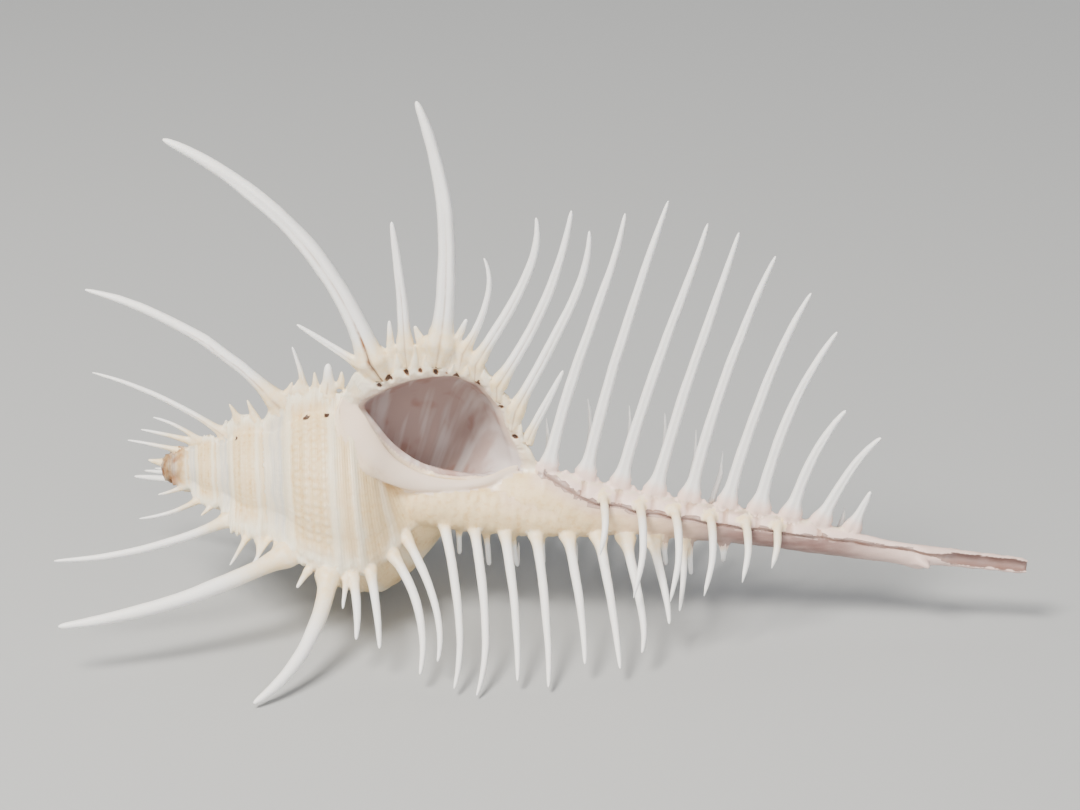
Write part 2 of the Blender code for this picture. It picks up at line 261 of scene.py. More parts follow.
# Main spines of the lower comb, two thirds of a turn older than the upper one.
LOWER_COMB = (
    (23.6, 35.0, -48, -25, 0, 1.25),
    (30.0, 25.0, 4, -38, -10, 1.20),
    (27.2, 4.0, -20, 0, 0, 0.45),
    (32.6, 6.0, 3, 0, 0, 0.50),
    (33.4, 11.4, 18, -14, 0, 0.65),
    (35.7, 14.0, 18, -8, 0, 0.65),
    (38.4, 21.8, 40, -42, 0, 0.70),
    (40.0, 22.6, 34, -22, -16, 0.65),
    (45.0, 30.0, 18, -9, -15, 0.70),
    (49.6, 30.2, 15, -7, -18, 0.70),
    (54.2, 26.8, 14, -5, -4, 0.70),
    (58.8, 27.2, 14, -6, -4, 0.70),
    (63.5, 23.0, 16, -6, -4, 0.70),
    (68.1, 23.4, 15, -3, -2, 0.70),
    (72.1, 20.4, 15, 4, -26, 0.70),
    (76.0, 15.0, 18, -4, -8, 0.65),
    (80.6, 12.2, 7, -10, 0, 0.50),
)

# Spines left on the older whorls: clock angle, station, foot radius, length, lean, sweep, radius.
OLD_SPINES = (
    (0, 18.8, 12.6, 32.4, -46, -37, 1.20),
    (0, 23.2, 14.0, 7.6, -12, -14, 0.55),
    (0, 26.5, 13.2, 6.0, -3, 0, 0.95),
    (0, 11.4, 6.3, 21.2, -58, -24, 0.60),
    (0, 7.9, 4.7, 7.6, -52, -32, 0.40),
    (0, 6.2, 4.5, 7.0, -80, -6, 0.40),
    (0, 5.3, 2.7, 8.0, -82, -6, 0.40),
    (40, 2.6, 0.9, 1.9, -84, 10, 0.42),
    (120, 14.0, 8.4, 26.2, -51, -29, 0.85),
    (120, 9.2, 5.4, 9.4, -44, -32, 0.45),
    (120, 7.2, 3.0, 4.8, -50, -20, 0.40),
    (240, 16.6, 9.6, 25.0, -42, -36, 0.95),
    (240, 10.2, 5.8, 13.0, -52, -28, 0.60),
    (240, 6.4, 3.6, 6.0, -60, -20, 0.40),
)

# The one that is broken off to a stub, by its station.
BROKEN_SPINE = 26.5

# How wide a main spine is along its length, from foot to tip.
SPINE_PROFILE = (
    (0.0, 1.06),
    (0.16, 1.0),
    (0.4, 0.92),
    (0.66, 0.78),
    (0.87, 0.58),
    (0.965, 0.4),
    (0.99, 0.26),
    (1.0, 0.1),
)

# The same for a broken stub.
STUB_PROFILE = ((0.0, 1.15), (0.6, 1.0), (0.85, 0.9), (0.96, 0.6), (1.0, 0.15))

# Secondary spines, between the main ones on the canal, comb by comb: station and length.
UPPER_SECONDARIES = ((67.8, 11.5), (73.3, 18.0), (78.5, 17.5), (83.8, 15.5), (89.0, 12.0), (93.8, 8.5))
LOWER_SECONDARIES = (
    (47.2, 12.0),
    (51.2, 14.5),
    (55.0, 14.0),
    (59.4, 12.5),
    (63.8, 12.0),
    (77.4, 9.5),
    (81.2, 11.5),
    (86.4, 6.5),
)
BACK_SECONDARIES = (
    (58.6, 12.8),
    (64.6, 16.6),
    (69.8, 16.6),
    (74.9, 16.4),
    (79.8, 14.4),
    (83.5, 11.6),
    (103.0, 5.6),
)

# Hollows in front of the old varices, painted dark as shade like the pits at the lip: clock, station and width.
OLD_PITS = ((11, 21.2, 0.34), (10, 23.9, 0.3), (9, 27.0, 0.36), (9, 29.2, 0.26), (10, 13.6, 0.2), (130, 20.4, 0.2))

# Small thorns on the old varices, knobs along the canal's crest and the spur below it: clock,
# station, length, lean, radius.
THORNS = (
    (0, 13.4, 2.4, -30, 0.40),
    (0, 15.9, 2.6, -25, 0.42),
    (0, 20.6, 1.8, 20, 0.40),
    (0, 21.9, 1.6, 10, 0.38),
    (0, 24.6, 2.2, -6, 0.42),
    (0, 28.2, 2.0, 4, 0.45),
    (0, 62.3, 1.1, 4, 0.50),
    (0, 67.0, 1.2, 0, 0.52),
    (0, 68.7, 1.1, 8, 0.46),
    (0, 72.4, 1.2, 0, 0.52),
    (0, 74.2, 1.1, 8, 0.46),
    (0, 77.6, 1.2, 0, 0.52),
    (0, 79.3, 1.1, 8, 0.46),
    (0, 82.9, 1.1, 0, 0.50),
    (0, 84.7, 1.0, 8, 0.46),
    (0, 88.1, 1.1, 0, 0.50),
    (0, 93.0, 1.0, 0, 0.46),
    (120, 11.0, 1.9, -30, 0.30),
    (120, 17.2, 5.4, -14, 0.42),
    (120, 19.2, 3.0, 6, 0.50),
    (120, 20.6, 5.6, -16, 0.36),
    (120, 21.8, 4.6, -10, 0.40),
    (240, 19.6, 4.0, -10, 0.40),
    (240, 21.6, 3.0, 0, 0.40),
    (240, 13.0, 3.4, -20, 0.36),
    (106, 115.6, 1.5, 52, 0.6),
)

# Where the grooves of the lip's spines meet the margin of the mouth: station, radius and width of
# the pit there, then the station and radius that the groove runs out to.
GROOVES = (
    (33.9, 16.9, 0.42, 31.9, 21.2),
    (35.5, 18.2, 0.36, 35.2, 22.0),
    (37.7, 19.4, 0.50, 37.2, 23.2),
    (39.7, 19.9, 0.36, 39.6, 23.4),
    (41.9, 19.9, 0.50, 42.2, 24.4),
    (43.5, 19.9, 0.28, 44.0, 24.0),
    (44.9, 19.4, 0.56, 45.3, 23.4),
    (48.0, 18.4, 0.60, 47.9, 21.6),
    (51.8, 15.6, 0.50, 51.6, 18.4),
    (54.3, 11.2, 0.50, 54.6, 14.6),
)


class Comb(Enum):
    """A comb of spines on the body whorl."""

    UPPER = "along the lip"
    BACK = "a third of a turn before it"
    LOWER = "two thirds of a turn before it"

    @property
    def turns(self) -> float:
        """Returns how many turns before the lip the comb grew."""
        return list(Comb).index(self) / COMBS_PER_TURN

    @property
    def clock(self) -> float:
        """Returns the comb's clock angle."""
        return (-360.0 * self.turns) % 360.0

    @property
    def size(self) -> float:
        """Returns the size of the shell when the comb was its lip."""
        return GROWTH_PER_TURN**-self.turns

    @property
    def scale(self) -> float:
        """Returns what the comb's table is multiplied by."""
        return self.size if self is Comb.BACK else 1.0

    @property
    def swing(self) -> float:
        """Returns how far the tips of its spines swing round, in degrees."""
        return BACK_SWING if self is Comb.BACK else 0.0

    @property
    def varix(self) -> float:
        """Returns the height of its varix."""
        return VARIX_HEIGHTS[list(Comb).index(self)]


class Join(Enum):
    """What a step does with its forms."""

    ADD = "UNION"
    CUT = "DIFFERENCE"


class Mark(IntEnum):
    """What each vertex says about its place on the shell, for the finish to read."""

    SPINE = 0
    STATION = 1
    VARIX = 2
    RELIEF = 3
    GLAZE = 4
    INSIDE = 5
    CANAL = 6
    # Brown of wear at the apex, and painted shade in grooves, seams, the slit and the pits.
    DIRT = 7


@dataclass
class Form:
    """A closed shape in millimetres, with the marks of the points that it was made from."""

    mesh: bpy.types.Mesh
    points: np.ndarray
    marks: np.ndarray


def size_at(turned: np.ndarray | float) -> np.ndarray | float:
    """Returns the size of the shell at an angle in degrees, 0 at the lip and less before it."""
    return GROWTH_PER_TURN ** (np.asarray(turned, float) / 360.0)


def place(station: np.ndarray, radius: np.ndarray, clock: np.ndarray) -> np.ndarray:
    """Turns stations, radii and clock angles into points.

    Args:
        station: Distances along the axis.
        radius: Distances from the axis.
        clock: Angles from the top towards the mouth side, in degrees.

    Returns:
        The points, with their coordinates in the last dimension.
    """
    angle = np.radians(clock)
    points = np.broadcast_arrays(station, -radius * np.sin(angle), radius * np.cos(angle))
    return np.stack(points, axis=-1).astype(float)


def read(table: Sequence[Sequence[float]], station: np.ndarray | float, column: int) -> np.ndarray:
    """Reads a column of a table of stations, straight between its rows."""
    rows = np.array(table, float)
    return np.interp(station, rows[:, 0], rows[:, column])


def ease(value: np.ndarray | float) -> np.ndarray:
    """Returns a smooth step from 0 at 0 to 1 at 1."""
    clipped = np.clip(value, 0.0, 1.0)
    return clipped * clipped * (3.0 - 2.0 * clipped)


def bump(distance: np.ndarray | float, reach: float) -> np.ndarray:
    """Returns a rounded hill, 1 at no distance and about a third at the reach."""
    return np.exp(-((np.asarray(distance, float) / reach) ** 2))


def wander(value: np.ndarray | float, seed: float) -> np.ndarray:
    """Makes a smooth uneven wave, the same on every run.

    Args:
        value: Where to read the wave.
        seed: Which wave to read.

    Returns:
        The wave, between about -1 and 1.
    """
    value = np.asarray(value, float)
    slow = np.sin(0.91 * value + 1.7 * seed)
    middle = np.sin(2.13 * value + 2.9 * seed + 0.8 * slow)
    quick = np.sin(4.71 * value + 0.6 * seed + 0.7 * middle)
    return 0.5 * slow + 0.32 * middle + 0.18 * quick


def smooth_line(knots: np.ndarray, spacing: float) -> tuple[np.ndarray, list[int]]:
    """Draws a smooth line through knots, with points about a set distance apart.

    Args:
        knots: One row a knot. Every column is drawn smooth.
        spacing: The distance between points, which is fitted to each stretch.

    Returns:
        The points of the line, and the number of the point at each knot.
    """
    knots = np.asarray(knots, float)
    count = len(knots)
    knots = np.vstack([2 * knots[0] - knots[1], knots, 2 * knots[-1] - knots[-2]])
    gaps = np.maximum(np.linalg.norm(np.diff(knots[:, :2], axis=0), axis=1), 1e-9)
    points, numbers = [], []
    for index in range(1, count):
        before, here, there = gaps[index - 1], gaps[index], gaps[index + 1]
        leave = (knots[index + 1] - knots[index - 1]) / (before + here) * here
        reach = (knots[index + 2] - knots[index]) / (here + there) * here
        steps = max(1, round(here / spacing))
        share = np.arange(steps)[:, None] / steps
        numbers.append(len(points))
        points.extend(
            (2 * share**3 - 3 * share**2 + 1) * knots[index]
            + (share**3 - 2 * share**2 + share) * leave
            + (3 * share**2 - 2 * share**3) * knots[index + 1]
            + (share**3 - share**2) * reach
        )
    numbers.append(len(points))
    points.append(knots[count])
    return np.array(points), numbers


def lay_sheet(shape: bmesh.types.BMesh, points: np.ndarray) -> None:
    """Adds a sheet of faces to a shape, with a vertex at each point.

    Args:
        shape: The shape that the sheet is added to.
        points: The places of its vertices, as rows by columns by 3.
    """
    rows, columns = points.shape[:2]
    made = bmesh.ops.create_grid(shape, x_segments=columns - 1, y_segments=rows - 1, size=1.0)
    for vertex, point in zip(made["verts"], points.reshape(-1, 3)):
        vertex.co = point


def close_up(shape: bmesh.types.BMesh, name: str) -> bpy.types.Mesh:
    """Welds the edges of a shape's sheets, fills its open ends and points its faces outwards.

    Args:
        shape: The shape, which is used up.
        name: The mesh's name.

    Returns:
        The closed mesh.
    """
    bmesh.ops.remove_doubles(shape, verts=shape.verts, dist=1e-5)
    loose = [edge for edge in shape.edges if not edge.link_faces]
    bmesh.ops.delete(shape, geom=loose, context="EDGES")
    bmesh.ops.holes_fill(shape, edges=shape.edges, sides=0)
    bmesh.ops.triangulate(shape, faces=shape.faces)
    bmesh.ops.recalc_face_normals(shape, faces=shape.faces)
    mesh = bpy.data.meshes.new(name)
    shape.to_mesh(mesh)
    shape.free()
    return mesh


def tube(sections: np.ndarray, marks: np.ndarray, name: str) -> Form:
    """Joins closed sections into a tube with flat ends.

    Args:
        sections: The points of each section, as sections by points by 3.
        marks: The marks of each point, as sections by points by marks.
        name: The mesh's name.

    Returns:
        The tube.
    """
    shape = bmesh.new()
    lay_sheet(shape, np.concatenate([sections, sections[:, :1]], axis=1))
    return Form(close_up(shape, name), sections.reshape(-1, 3), marks.reshape(-1, len(Mark)))


def layer_of(shape: bmesh.types.BMesh, mark: Mark) -> bmesh.types.BMLayerItem:
    """Returns the layer of a shape that holds a mark."""
    return shape.verts.layers.float[mark.name.lower()]


def tree_of(points: Sequence[Sequence[float]]) -> KDTree:
    """Builds a tree that finds the nearest of some points.

    Args:
        points: The points, which are numbered in this order.

    Returns:
        The tree.
    """
    tree = KDTree(len(points))
    for number, point in enumerate(points):
        tree.insert(point, number)
    tree.balance()
    return tree


def show(name: str, data: bpy.types.ID) -> bpy.types.Object:
    """Adds an object to the scene.

    Args:
        name: Its name.
        data: Its mesh, light or camera.

    Returns:
        The object.
    """
    shown = bpy.data.objects.new(name, data)
    bpy.context.scene.collection.objects.link(shown)
    return shown


def marks_of(lengths: Sequence[int], **values: np.ndarray | float) -> np.ndarray:
    """Lays out the marks of an array of points.

    Args:
        lengths: The lengths of the array.
        **values: Marks by their names in small letters. Any other is 0.

    Returns:
        The marks, in the last dimension.
    """
    marks = np.zeros((*lengths, len(Mark)))
    for name, value in values.items():
        marks[..., Mark[name.upper()]] = value
    return marks


@dataclass
class WhorlSkin:
    """The coiled skin of all whorls, from the worn apex to the flat face of the lip."""

    turns: int = 5
    steps_per_turn: int = 320
    spacing: float = 0.4
    row_strides: tuple[int, ...] = (1, 2, 2, 4, 8, 8)
    column_strides: tuple[int, ...] = (1, 1, 2, 4, 8, 8)
    axis_stride: int = 20
    varix_rise: float = 22.0
    varix_fall: float = 9.5
    band_stations: tuple[float, ...] = (33.9, 44.2, 49.0, 54.4)
    band_height: float = 0.24
    cord_gap: float = 2.1
    first_cord: float = 31.75
    cord_height: float = 0.13
    beads_per_turn: int = 64
    bead_height: float = 0.25
    slump: float = 1.6
    slump_at: float = 32.4
    slump_reach: float = 3.9
    worn_to: float = 4.0
    worn_fade: float = 4.2
    apex_start: float = 1.5
    apex_fade: float = 2.4

    def varix(self, turned: np.ndarray) -> tuple[np.ndarray, np.ndarray]:
        """Finds the nearest varix to each angle.

        Args:
            turned: The angles, in degrees before the lip.

        Returns:
            How much of the varix there is, from 0 to 1, and its height.
        """
        nearest = np.maximum(np.round(-turned / COMB_SPACING), 0)
        past = turned + nearest * COMB_SPACING
        share = np.where(past <= 0, ease(1 + past / self.varix_rise), ease(1 - past / self.varix_fall))
        return share, np.array(VARIX_HEIGHTS)[np.minimum(nearest, len(VARIX_HEIGHTS) - 1).astype(int)]

    def relief(self, station: np.ndarray, turned: np.ndarray) -> np.ndarray:
        """Shapes the cords and beads.

        Args:
            station: The station of each point, at the lip's size.
            turned: The angle of each point, in degrees before the lip.

        Returns:
            Their height, at the lip's size.
        """
        height = sum(self.band_height * bump(station - band, 0.8) for band in self.band_stations)
        window = ease((station - 29.6) / 1.5) * ease((59.0 - station) / 3.0)
        cord = 0.5 + 0.5 * np.cos(math.tau * (station - self.first_cord) / self.cord_gap)
        bead = 0.5 + 0.5 * np.cos(math.radians(self.beads_per_turn) * turned)
        beaded = 0.3 + 0.7 * ease((station - 34.0) / 1.0) * ease((43.6 - station) / 1.0)
        height = height + window * cord * (self.cord_height + self.bead_height * bead * beaded)
        lines = 0.03 * wander(turned * 1.9, 2.0) + 0.03 * wander(turned * 0.7 + station * 0.25, 5.0)
        return height + window * lines

    def reach(self, station: float, clock: float) -> float:
        """Measures how far from the axis the outside of the skin is.

        Args:
            station: The station.
            clock: The clock angle.

        Returns:
            The radius.
        """
        knots = np.array(WHORL_OUTLINE)
        turned = clock - 360.0 * np.arange(1 if clock > 0 else 0, self.turns + 1)
        local = station / size_at(turned)
        inside = (local > knots[0, 0]) & (local < knots[-1, 0])
        share, height = self.varix(turned)
        radius = np.interp(local, knots[:, 0], knots[:, 1]) * size_at(turned)
        radius = radius + height * share * np.interp(local, knots[:, 0], knots[:, 2])
        return float(np.max(np.where(inside, radius, 0.0)))

    def surface(self, turned: np.ndarray, outline: np.ndarray) -> tuple[np.ndarray, np.ndarray]:
        """Returns the points and marks of the skin.

        Args:
            turned: The angle of each point, in degrees before the lip.
            outline: Each point's station, radius, varix weight and share of the relief that it
                keeps, at the lip's size.

        Returns:
            The points, and their marks.
        """
        size = size_at(turned)
        station, radius, weight, kept = np.moveaxis(outline, -1, 0)
        share, height = self.varix(turned)
        relief = self.relief(station, turned) * kept
        worn = ease(1 - (station * size - self.worn_to) / self.worn_fade)
        knobs = 0.07 * np.cos(math.tau * (station - self.first_cord) / self.cord_gap)
        knobs = 1.0 + kept * (knobs + 0.12 * wander(station * 0.9, turned.max()))
        slump = self.slump * bump(station - self.slump_at, self.slump_reach) * ease((station - SUTURE) / 2.2)
        slump = slump * (station < WHORL_OUTLINE[SUTURE_POINT - 1][0]) * ease(-turned / 70.0) * (1 - share)
        _, under = self.varix(turned - 360.0)
        own = ease((station - SUTURE) / 2.6)
        ridge = own * height * weight + (1 - own) * under * WHORL_OUTLINE[SUTURE_POINT][2]
        raised = (radius - slump) * size + share * ridge * knobs
        raised = raised + size * relief * (1 - worn) * (1 + 0.7 * share)
        raised = raised * (1 + 0.16 * worn * kept * wander(station * 0.5 + turned * 0.05, 3.0))
        raised = raised + 0.5 * worn * ease(station * size / 2.0) * kept
        raised = raised * np.sqrt(ease((station * size - self.apex_start) / self.apex_fade))
        marks = marks_of(
            turned.shape,
            station=station,
            varix=share * ease(weight * 1.6),
            relief=relief / 0.3,
            canal=ease((station * size - 55.5) / 5.0),
            dirt=0.74 * worn,
        )
        return place(station * size, raised, turned), marks

    def snap(self, turn: int, last: int, suture: int) -> tuple[np.ndarray, np.ndarray]:
        """Lays the grid of one turn, with vertices drawn together where the turn is small.

        Args:
            turn: How many whole turns it is before the body whorl.
            last: The number of the outline's last point.
            suture: The number of its point at the suture.

        Returns:
            The row and the column that each vertex is drawn to.
        """
        columns = np.arange(last + 1 if turn == 0 else suture + 1)
        row, column = np.meshgrid(np.arange(self.steps_per_turn + 1), columns, indexing="ij")
        stride, coarse = self.row_strides[turn], self.row_strides[turn + 1]
        snapped_row = np.where(column == 0, (row // coarse) * coarse, (row // stride) * stride)
        on_axis = (turn == 0) & (column == last)
        snapped_row = np.where(on_axis, (row // self.axis_stride) * self.axis_stride, snapped_row)
        newer = self.column_strides[max(turn - 1, 0)]
        stride = np.where(row == self.steps_per_turn, newer, self.column_strides[turn])
        snapped_column = np.minimum(((column + stride // 2) // stride) * stride, columns[-1])
        if turn > 0:
            near_suture = suture - column < (stride + 1) // 2
            snapped_column = np.where(near_suture, suture, snapped_column)
        return snapped_row, snapped_column

    def build(self) -> Form:
        """Builds the skin.

        Returns:
            The closed skin, with a flat face at the lip.
        """
        knots = np.array(WHORL_OUTLINE)
        knots[0, :2] = knots[SUTURE_POINT, :2] / GROWTH_PER_TURN
        line, numbers = smooth_line(knots, self.spacing)
        suture = numbers[SUTURE_POINT]
        along = np.concatenate([[0], np.cumsum(np.linalg.norm(np.diff(line[:, :2], axis=0), axis=1))])
        shape = bmesh.new()
        points, marks = [], []
        for turn in range(self.turns):
            row, column = self.snap(turn, len(line) - 1, suture)
            turned = row * (360.0 / self.steps_per_turn) - 360.0 * (turn + 1)
            since = ease((turned + 360.0) / 25.0)
            start = ease(along[column] / 1.2)
            end = ease(np.abs(along[suture] - along[column]) / 1.6)
            kept = start * (since + (1 - since) * end)
            outline = np.concatenate([line[column], kept[..., None]], axis=-1)
            sheet, sheet_marks = self.surface(turned, outline)
            lay_sheet(shape, sheet)
            points.append(sheet.reshape(-1, 3))
            marks.append(sheet_marks.reshape(-1, len(Mark)))
        mesh = close_up(shape, "skin")
        return Form(mesh, np.concatenate(points), np.concatenate(marks))


@dataclass
class Canal:
    """The long siphonal canal, with a ridge for each comb and seams between its spines."""

    ring_gap: float = 0.7
    sides: int = 30
    ridge_width: float = 25.0
    ridge_height: float = 0.85
    ridge_end: float = 112.0
    first_knob: float = 59.6
    knob_gap: float = 5.4
    lobe_height: float = 0.38
    seam_depth: float = 0.34
    seam_width: float = 0.28
    band_station: float = 57.2

    def foot(self, station: np.ndarray | float, clock: float, size: float) -> np.ndarray:
        """Returns how far from the axis a comb's spines stand on the canal."""
        lift = read(CANAL, station, 1) * math.cos(math.radians(clock))
        return read(CANAL, station, 2) + lift + CREST_HEIGHT * size

    def rings(self) -> tuple[np.ndarray, np.ndarray]:
        """Spaces the rings, closest at the seams and at the tip.

        Returns:
            The stations of the rings, and those of the seams.
        """
        seams = np.array([row[0] for row in UPPER_COMB if row[0] > CANAL_ALONE and row[1] > 10])
        first, last = CANAL[0][0], CANAL[-1][0]
        regular = np.arange(first, last + 0.01, self.ring_gap)
        regular = regular[np.min(np.abs(regular[:, None] - seams), axis=1) > 0.55]
        beside = [seams - self.seam_width, seams, seams + self.seam_width]
        return np.sort(np.concatenate([regular[regular < 130.8], *beside, [131.0, 131.15, last]])), seams

    def ridges(self, station: np.ndarray, clock: np.ndarray) -> np.ndarray:
        """Shapes the ridge that each comb stands on.

        Args:
            station: The station of each point.
            clock: Its clock angle.

        Returns:
            Their height.
        """
        ridges = np.zeros_like(station)
        for comb in (Comb.UPPER, Comb.LOWER, Comb.BACK):
            apart = (clock - comb.clock + 180.0) % 360.0 - 180.0
            knobs = 0.8 + 0.2 * np.cos(math.tau * (station / comb.size - self.first_knob) / self.knob_gap)
            knobs = knobs + 0.10 * wander(station * 2.6, comb.clock)
            tapered = ease((self.ridge_end * comb.size - station) / 14.0)
            ridges += bump(apart, self.ridge_width) * self.ridge_height * knobs * tapered * comb.size
        return ridges

    def build(self) -> Form:
        """Builds the canal, from inside the body whorl to its tip.

        Returns:
            The closed canal, before its slit is cut.
        """
        stations, seams = self.rings()
        table, _ = smooth_line(np.array(CANAL), 0.5)
        station, clock = np.meshgrid(stations, np.arange(self.sides) * 360.0 / self.sides, indexing="ij")
        lift, radius = read(table, station, 1), read(table, station, 2)
        slit = read(SLIT, station, 1)
        ridges = self.ridges(station, clock)
        below = (slit - clock) / 55.0
        wall = np.where((clock >= 0) & (clock <= slit), ease(1.15 - np.abs(below)), 0.0)
        between = np.min(np.abs(station[..., None] - seams), axis=-1)
        lobes = wall * self.lobe_height * (0.55 + 0.45 * ease(between / 2.4)) * ease((118.0 - station) / 6.0)
        on_seam = (clock > 6) & (clock < slit + 2) & (station < 104)
        cut = np.where(on_seam, self.seam_depth * bump(between, self.seam_width), 0.0)
        rough = 0.05 * wander(station * 0.9 + 0.05 * clock, 1.0) + 0.03 * wander(station * 2.1, 4.0)
        ragged = 0.16 * ease((station - 117.0) / 3.0) * wander(station * 2.3 + clock * 0.11, 7.0)
        tip = np.where(station > 130.9, 0.86, 1.0)
        raised = (radius + ridges + lobes - cut + rough * radius * 0.5 + ragged) * tip
        sections = place(station, raised, clock) + place(0 * station, lift, 0 * station)
        by_slit = 0.85 * ease((station - 56.0) / 3.0) * ease(1 - (clock - slit) / 48.0)
        lower = np.maximum(ease((station - 62.0) / 26.0), by_slit)
        marks = marks_of(
            station.shape,
            station=self.band_station,
            canal=np.where(clock < slit, ease((station - CANAL_ALONE) / 4.0), lower),
            glaze=ease((54.0 - station) / 3.0),
            relief=np.maximum(lobes, 0.08 * bump(clock - Comb.BACK.clock, 95.0)),
            varix=np.minimum(0.85, 1.4 * ridges) * (clock < slit),
            # The seams between the canal's spines are darkened as painted shade.
            dirt=0.4 * (cut > 0.1),
        )
        return tube(sections, marks, "canal")


@dataclass
class Spine:
    """One main spine: flared at its foot, grooved in front and drawn out to a point."""

    clock: float
    station: float
    radius: float
    length: float
    lean: float
    sweep: float
    flick: float
    width: float
    swing: float = 0.0
    parent: float = 50.0
    seed: float = 0.0
    cream: float = 7.0
    root: Optional[tuple[float, float]] = None
    blunt: bool = False
    flare: float = 0.5
    canal: float = 0.0
    depth: float = 1.8
    groove_depth: float = 0.34
    strides: int = 400
    sides: tuple[int, ...] = (0, 16, 48, 85, 118, 150, 180, 210, 242, 275, 312, 344)

    def distances(self) -> np.ndarray:
        """Spaces the rings, closest at the foot and the tip.

        Returns:
            How far each ring is from the foot, below 0 inside the shell.
        """
        near = np.array([0.0, 0.35, 0.75, 1.2, 1.8, 2.6, 3.6])
        tip = self.length - min(1.0, self.length / 5.0) * np.array([1.1, 0.55, 0.22, 0.06, 0.0])
        near = near[near < max(tip[0] - 0.3, 0.1)]
        gap = 1.3 if self.length > 12 else 0.9
        count = max(0, int((tip[0] - near[-1]) / gap))
        middle = np.linspace(near[-1], tip[0], count + 2)[1:-1]
        depth = min(self.depth, self.length / 2)
        buried = np.array([-depth, -0.4 * depth])
        if self.root:
            buried = np.arange(-6, 0) / 6 * self.root_length()
        return np.concatenate([buried, near, middle, tip])

    def root_length(self) -> float:
        """Returns how far the root of a spine on the lip runs down towards the mouth."""
        return math.hypot(self.root[0] - self.station, self.root[1] - self.radius)

    def root_share(self, distance: np.ndarray) -> np.ndarray:
        """Returns how far down its root each ring is, as a share."""
        inward = np.minimum(distance, 0.0)
        return ease(-inward / self.root_length()) * 0.35 + 0.65 * -inward / self.root_length()

    def centre_line(self, distance: np.ndarray, mark: np.ndarray) -> tuple[np.ndarray, np.ndarray, np.ndarray]:
        """Draws the middle of the spine in the plane of its comb.

        Args:
            distance: How far each ring is from the foot.
            mark: The same as a share of the length.

        Returns:
            The station, radius and heading of each ring.
        """
        fine = np.linspace(0.0, 1.0, self.strides + 1)
        heading = np.radians(self.lean + self.sweep * fine + self.flick * fine**4)
        stride = self.length / self.strides
        steps_along = (np.sin(heading[1:]) + np.sin(heading[:-1])) / 2 * stride
        steps_out = (np.cos(heading[1:]) + np.cos(heading[:-1])) / 2 * stride
        along = self.station + np.concatenate([[0.0], np.cumsum(steps_along)])
        out = self.radius + np.concatenate([[0.0], np.cumsum(steps_out)])
        turn = np.interp(mark, fine, heading)
        inward = np.minimum(distance, 0.0)
        wave = 0.10 * self.width * np.sin(math.pi * mark) ** 2 * wander(distance * 0.16, self.seed)
        station = np.interp(mark, fine, along) + inward * np.sin(turn) + wave * np.cos(turn)
        radius = np.interp(mark, fine, out) + inward * np.cos(turn) - wave * np.sin(turn)
        if self.root:
            share = self.root_share(distance)
            station = np.where(distance < 0, self.station + share * (self.root[0] - self.station), station)
            radius = np.where(distance < 0, self.radius + share * (self.root[1] - self.radius), radius)
        return station, radius, turn

    def widths(self, distance: np.ndarray, mark: np.ndarray) -> tuple[np.ndarray, np.ndarray]:
        """Works out how wide the spine is.

        Args:
            distance: How far each ring is from the foot.
            mark: The same as a share of the length.

        Returns:
            The width of each ring in the plane of the comb, and its depth across it.
        """
        profile = np.interp(mark, *np.array(STUB_PROFILE if self.blunt else SPINE_PROFILE).T)
        taper = 1 - 0.55 * self.root_share(distance) if self.root else np.ones_like(mark)
        uneven = (1 + 0.045 * wander(distance * 0.55, self.seed + 3)) * taper
        width = self.width * profile * uneven
        past = np.maximum(distance, 0.0)
        wide, thick = 0.6 + 0.55 * self.width, 0.5 + 0.6 * self.width
        across = width * (1 + 0.18 * np.exp(-past / 3.0) + self.flare * bump(past, wide * 1.6))
        deep = width * (1 + 0.10 * np.exp(-past / 3.0) + 0.3 * bump(past, thick * 1.5))
        return across, deep * np.where(self.root is None, 1 - 0.4 * ease(-distance / self.depth), 1.0)

    def build(self) -> Form:
        """Builds the spine, from inside the shell to its tip.

        Returns:
            The closed spine.
        """
        distance = self.distances()
        mark = np.clip(distance / self.length, 0.0, 1.0)
        station, radius, turn = self.centre_line(distance, mark)
        across, deep = self.widths(distance, mark)
        loose = np.sin(math.pi * mark) ** 2
        clock = self.clock + self.swing * mark + 0.3 * loose * wander(distance * 0.12, self.seed + 9)
        side = np.radians(np.array(self.sides, float))
        grooved = ease((0.9 - mark) / 0.25) * ease((self.width - 0.42) / 0.2)
        groove = np.where(np.array(self.sides) == 0, self.groove_depth, 0.0)[None, :] * grooved[:, None]
        centre = place(station, radius, clock)
        in_plane = place(np.cos(turn), -np.sin(turn), clock)
        forwards = place(0 * clock, 0 * clock + 1.0, clock + 90.0)
        sections = (
            centre[:, None]
            + in_plane[:, None] * (across[:, None] * np.sin(side))[..., None]
            + forwards[:, None] * (deep[:, None] * (np.cos(side) - groove))[..., None]
        )
        white = 0.05 + 0.95 * ease(distance / self.cream)
        past = np.maximum(distance, 0.0)
        # The groove down the front of a spine is darkened as painted shade, most on the largest spine near its foot.
        groove_shade = (0.18 if self.canal else 0.42) + 0.5 * ease((self.width - 1.42) / 0.05) * ease(1 - past / 9.0)
        marks = marks_of(
            sections.shape[:2],
            spine=(white * (self.canal < 1.0))[:, None],
            canal=self.canal,
            station=self.parent,
            varix=float(self.canal < 1.0),
            dirt=groove / self.groove_depth * (groove_shade * ease((0.75 - mark) / 0.4))[:, None],
        )
        return tube(sections, marks, "spine")


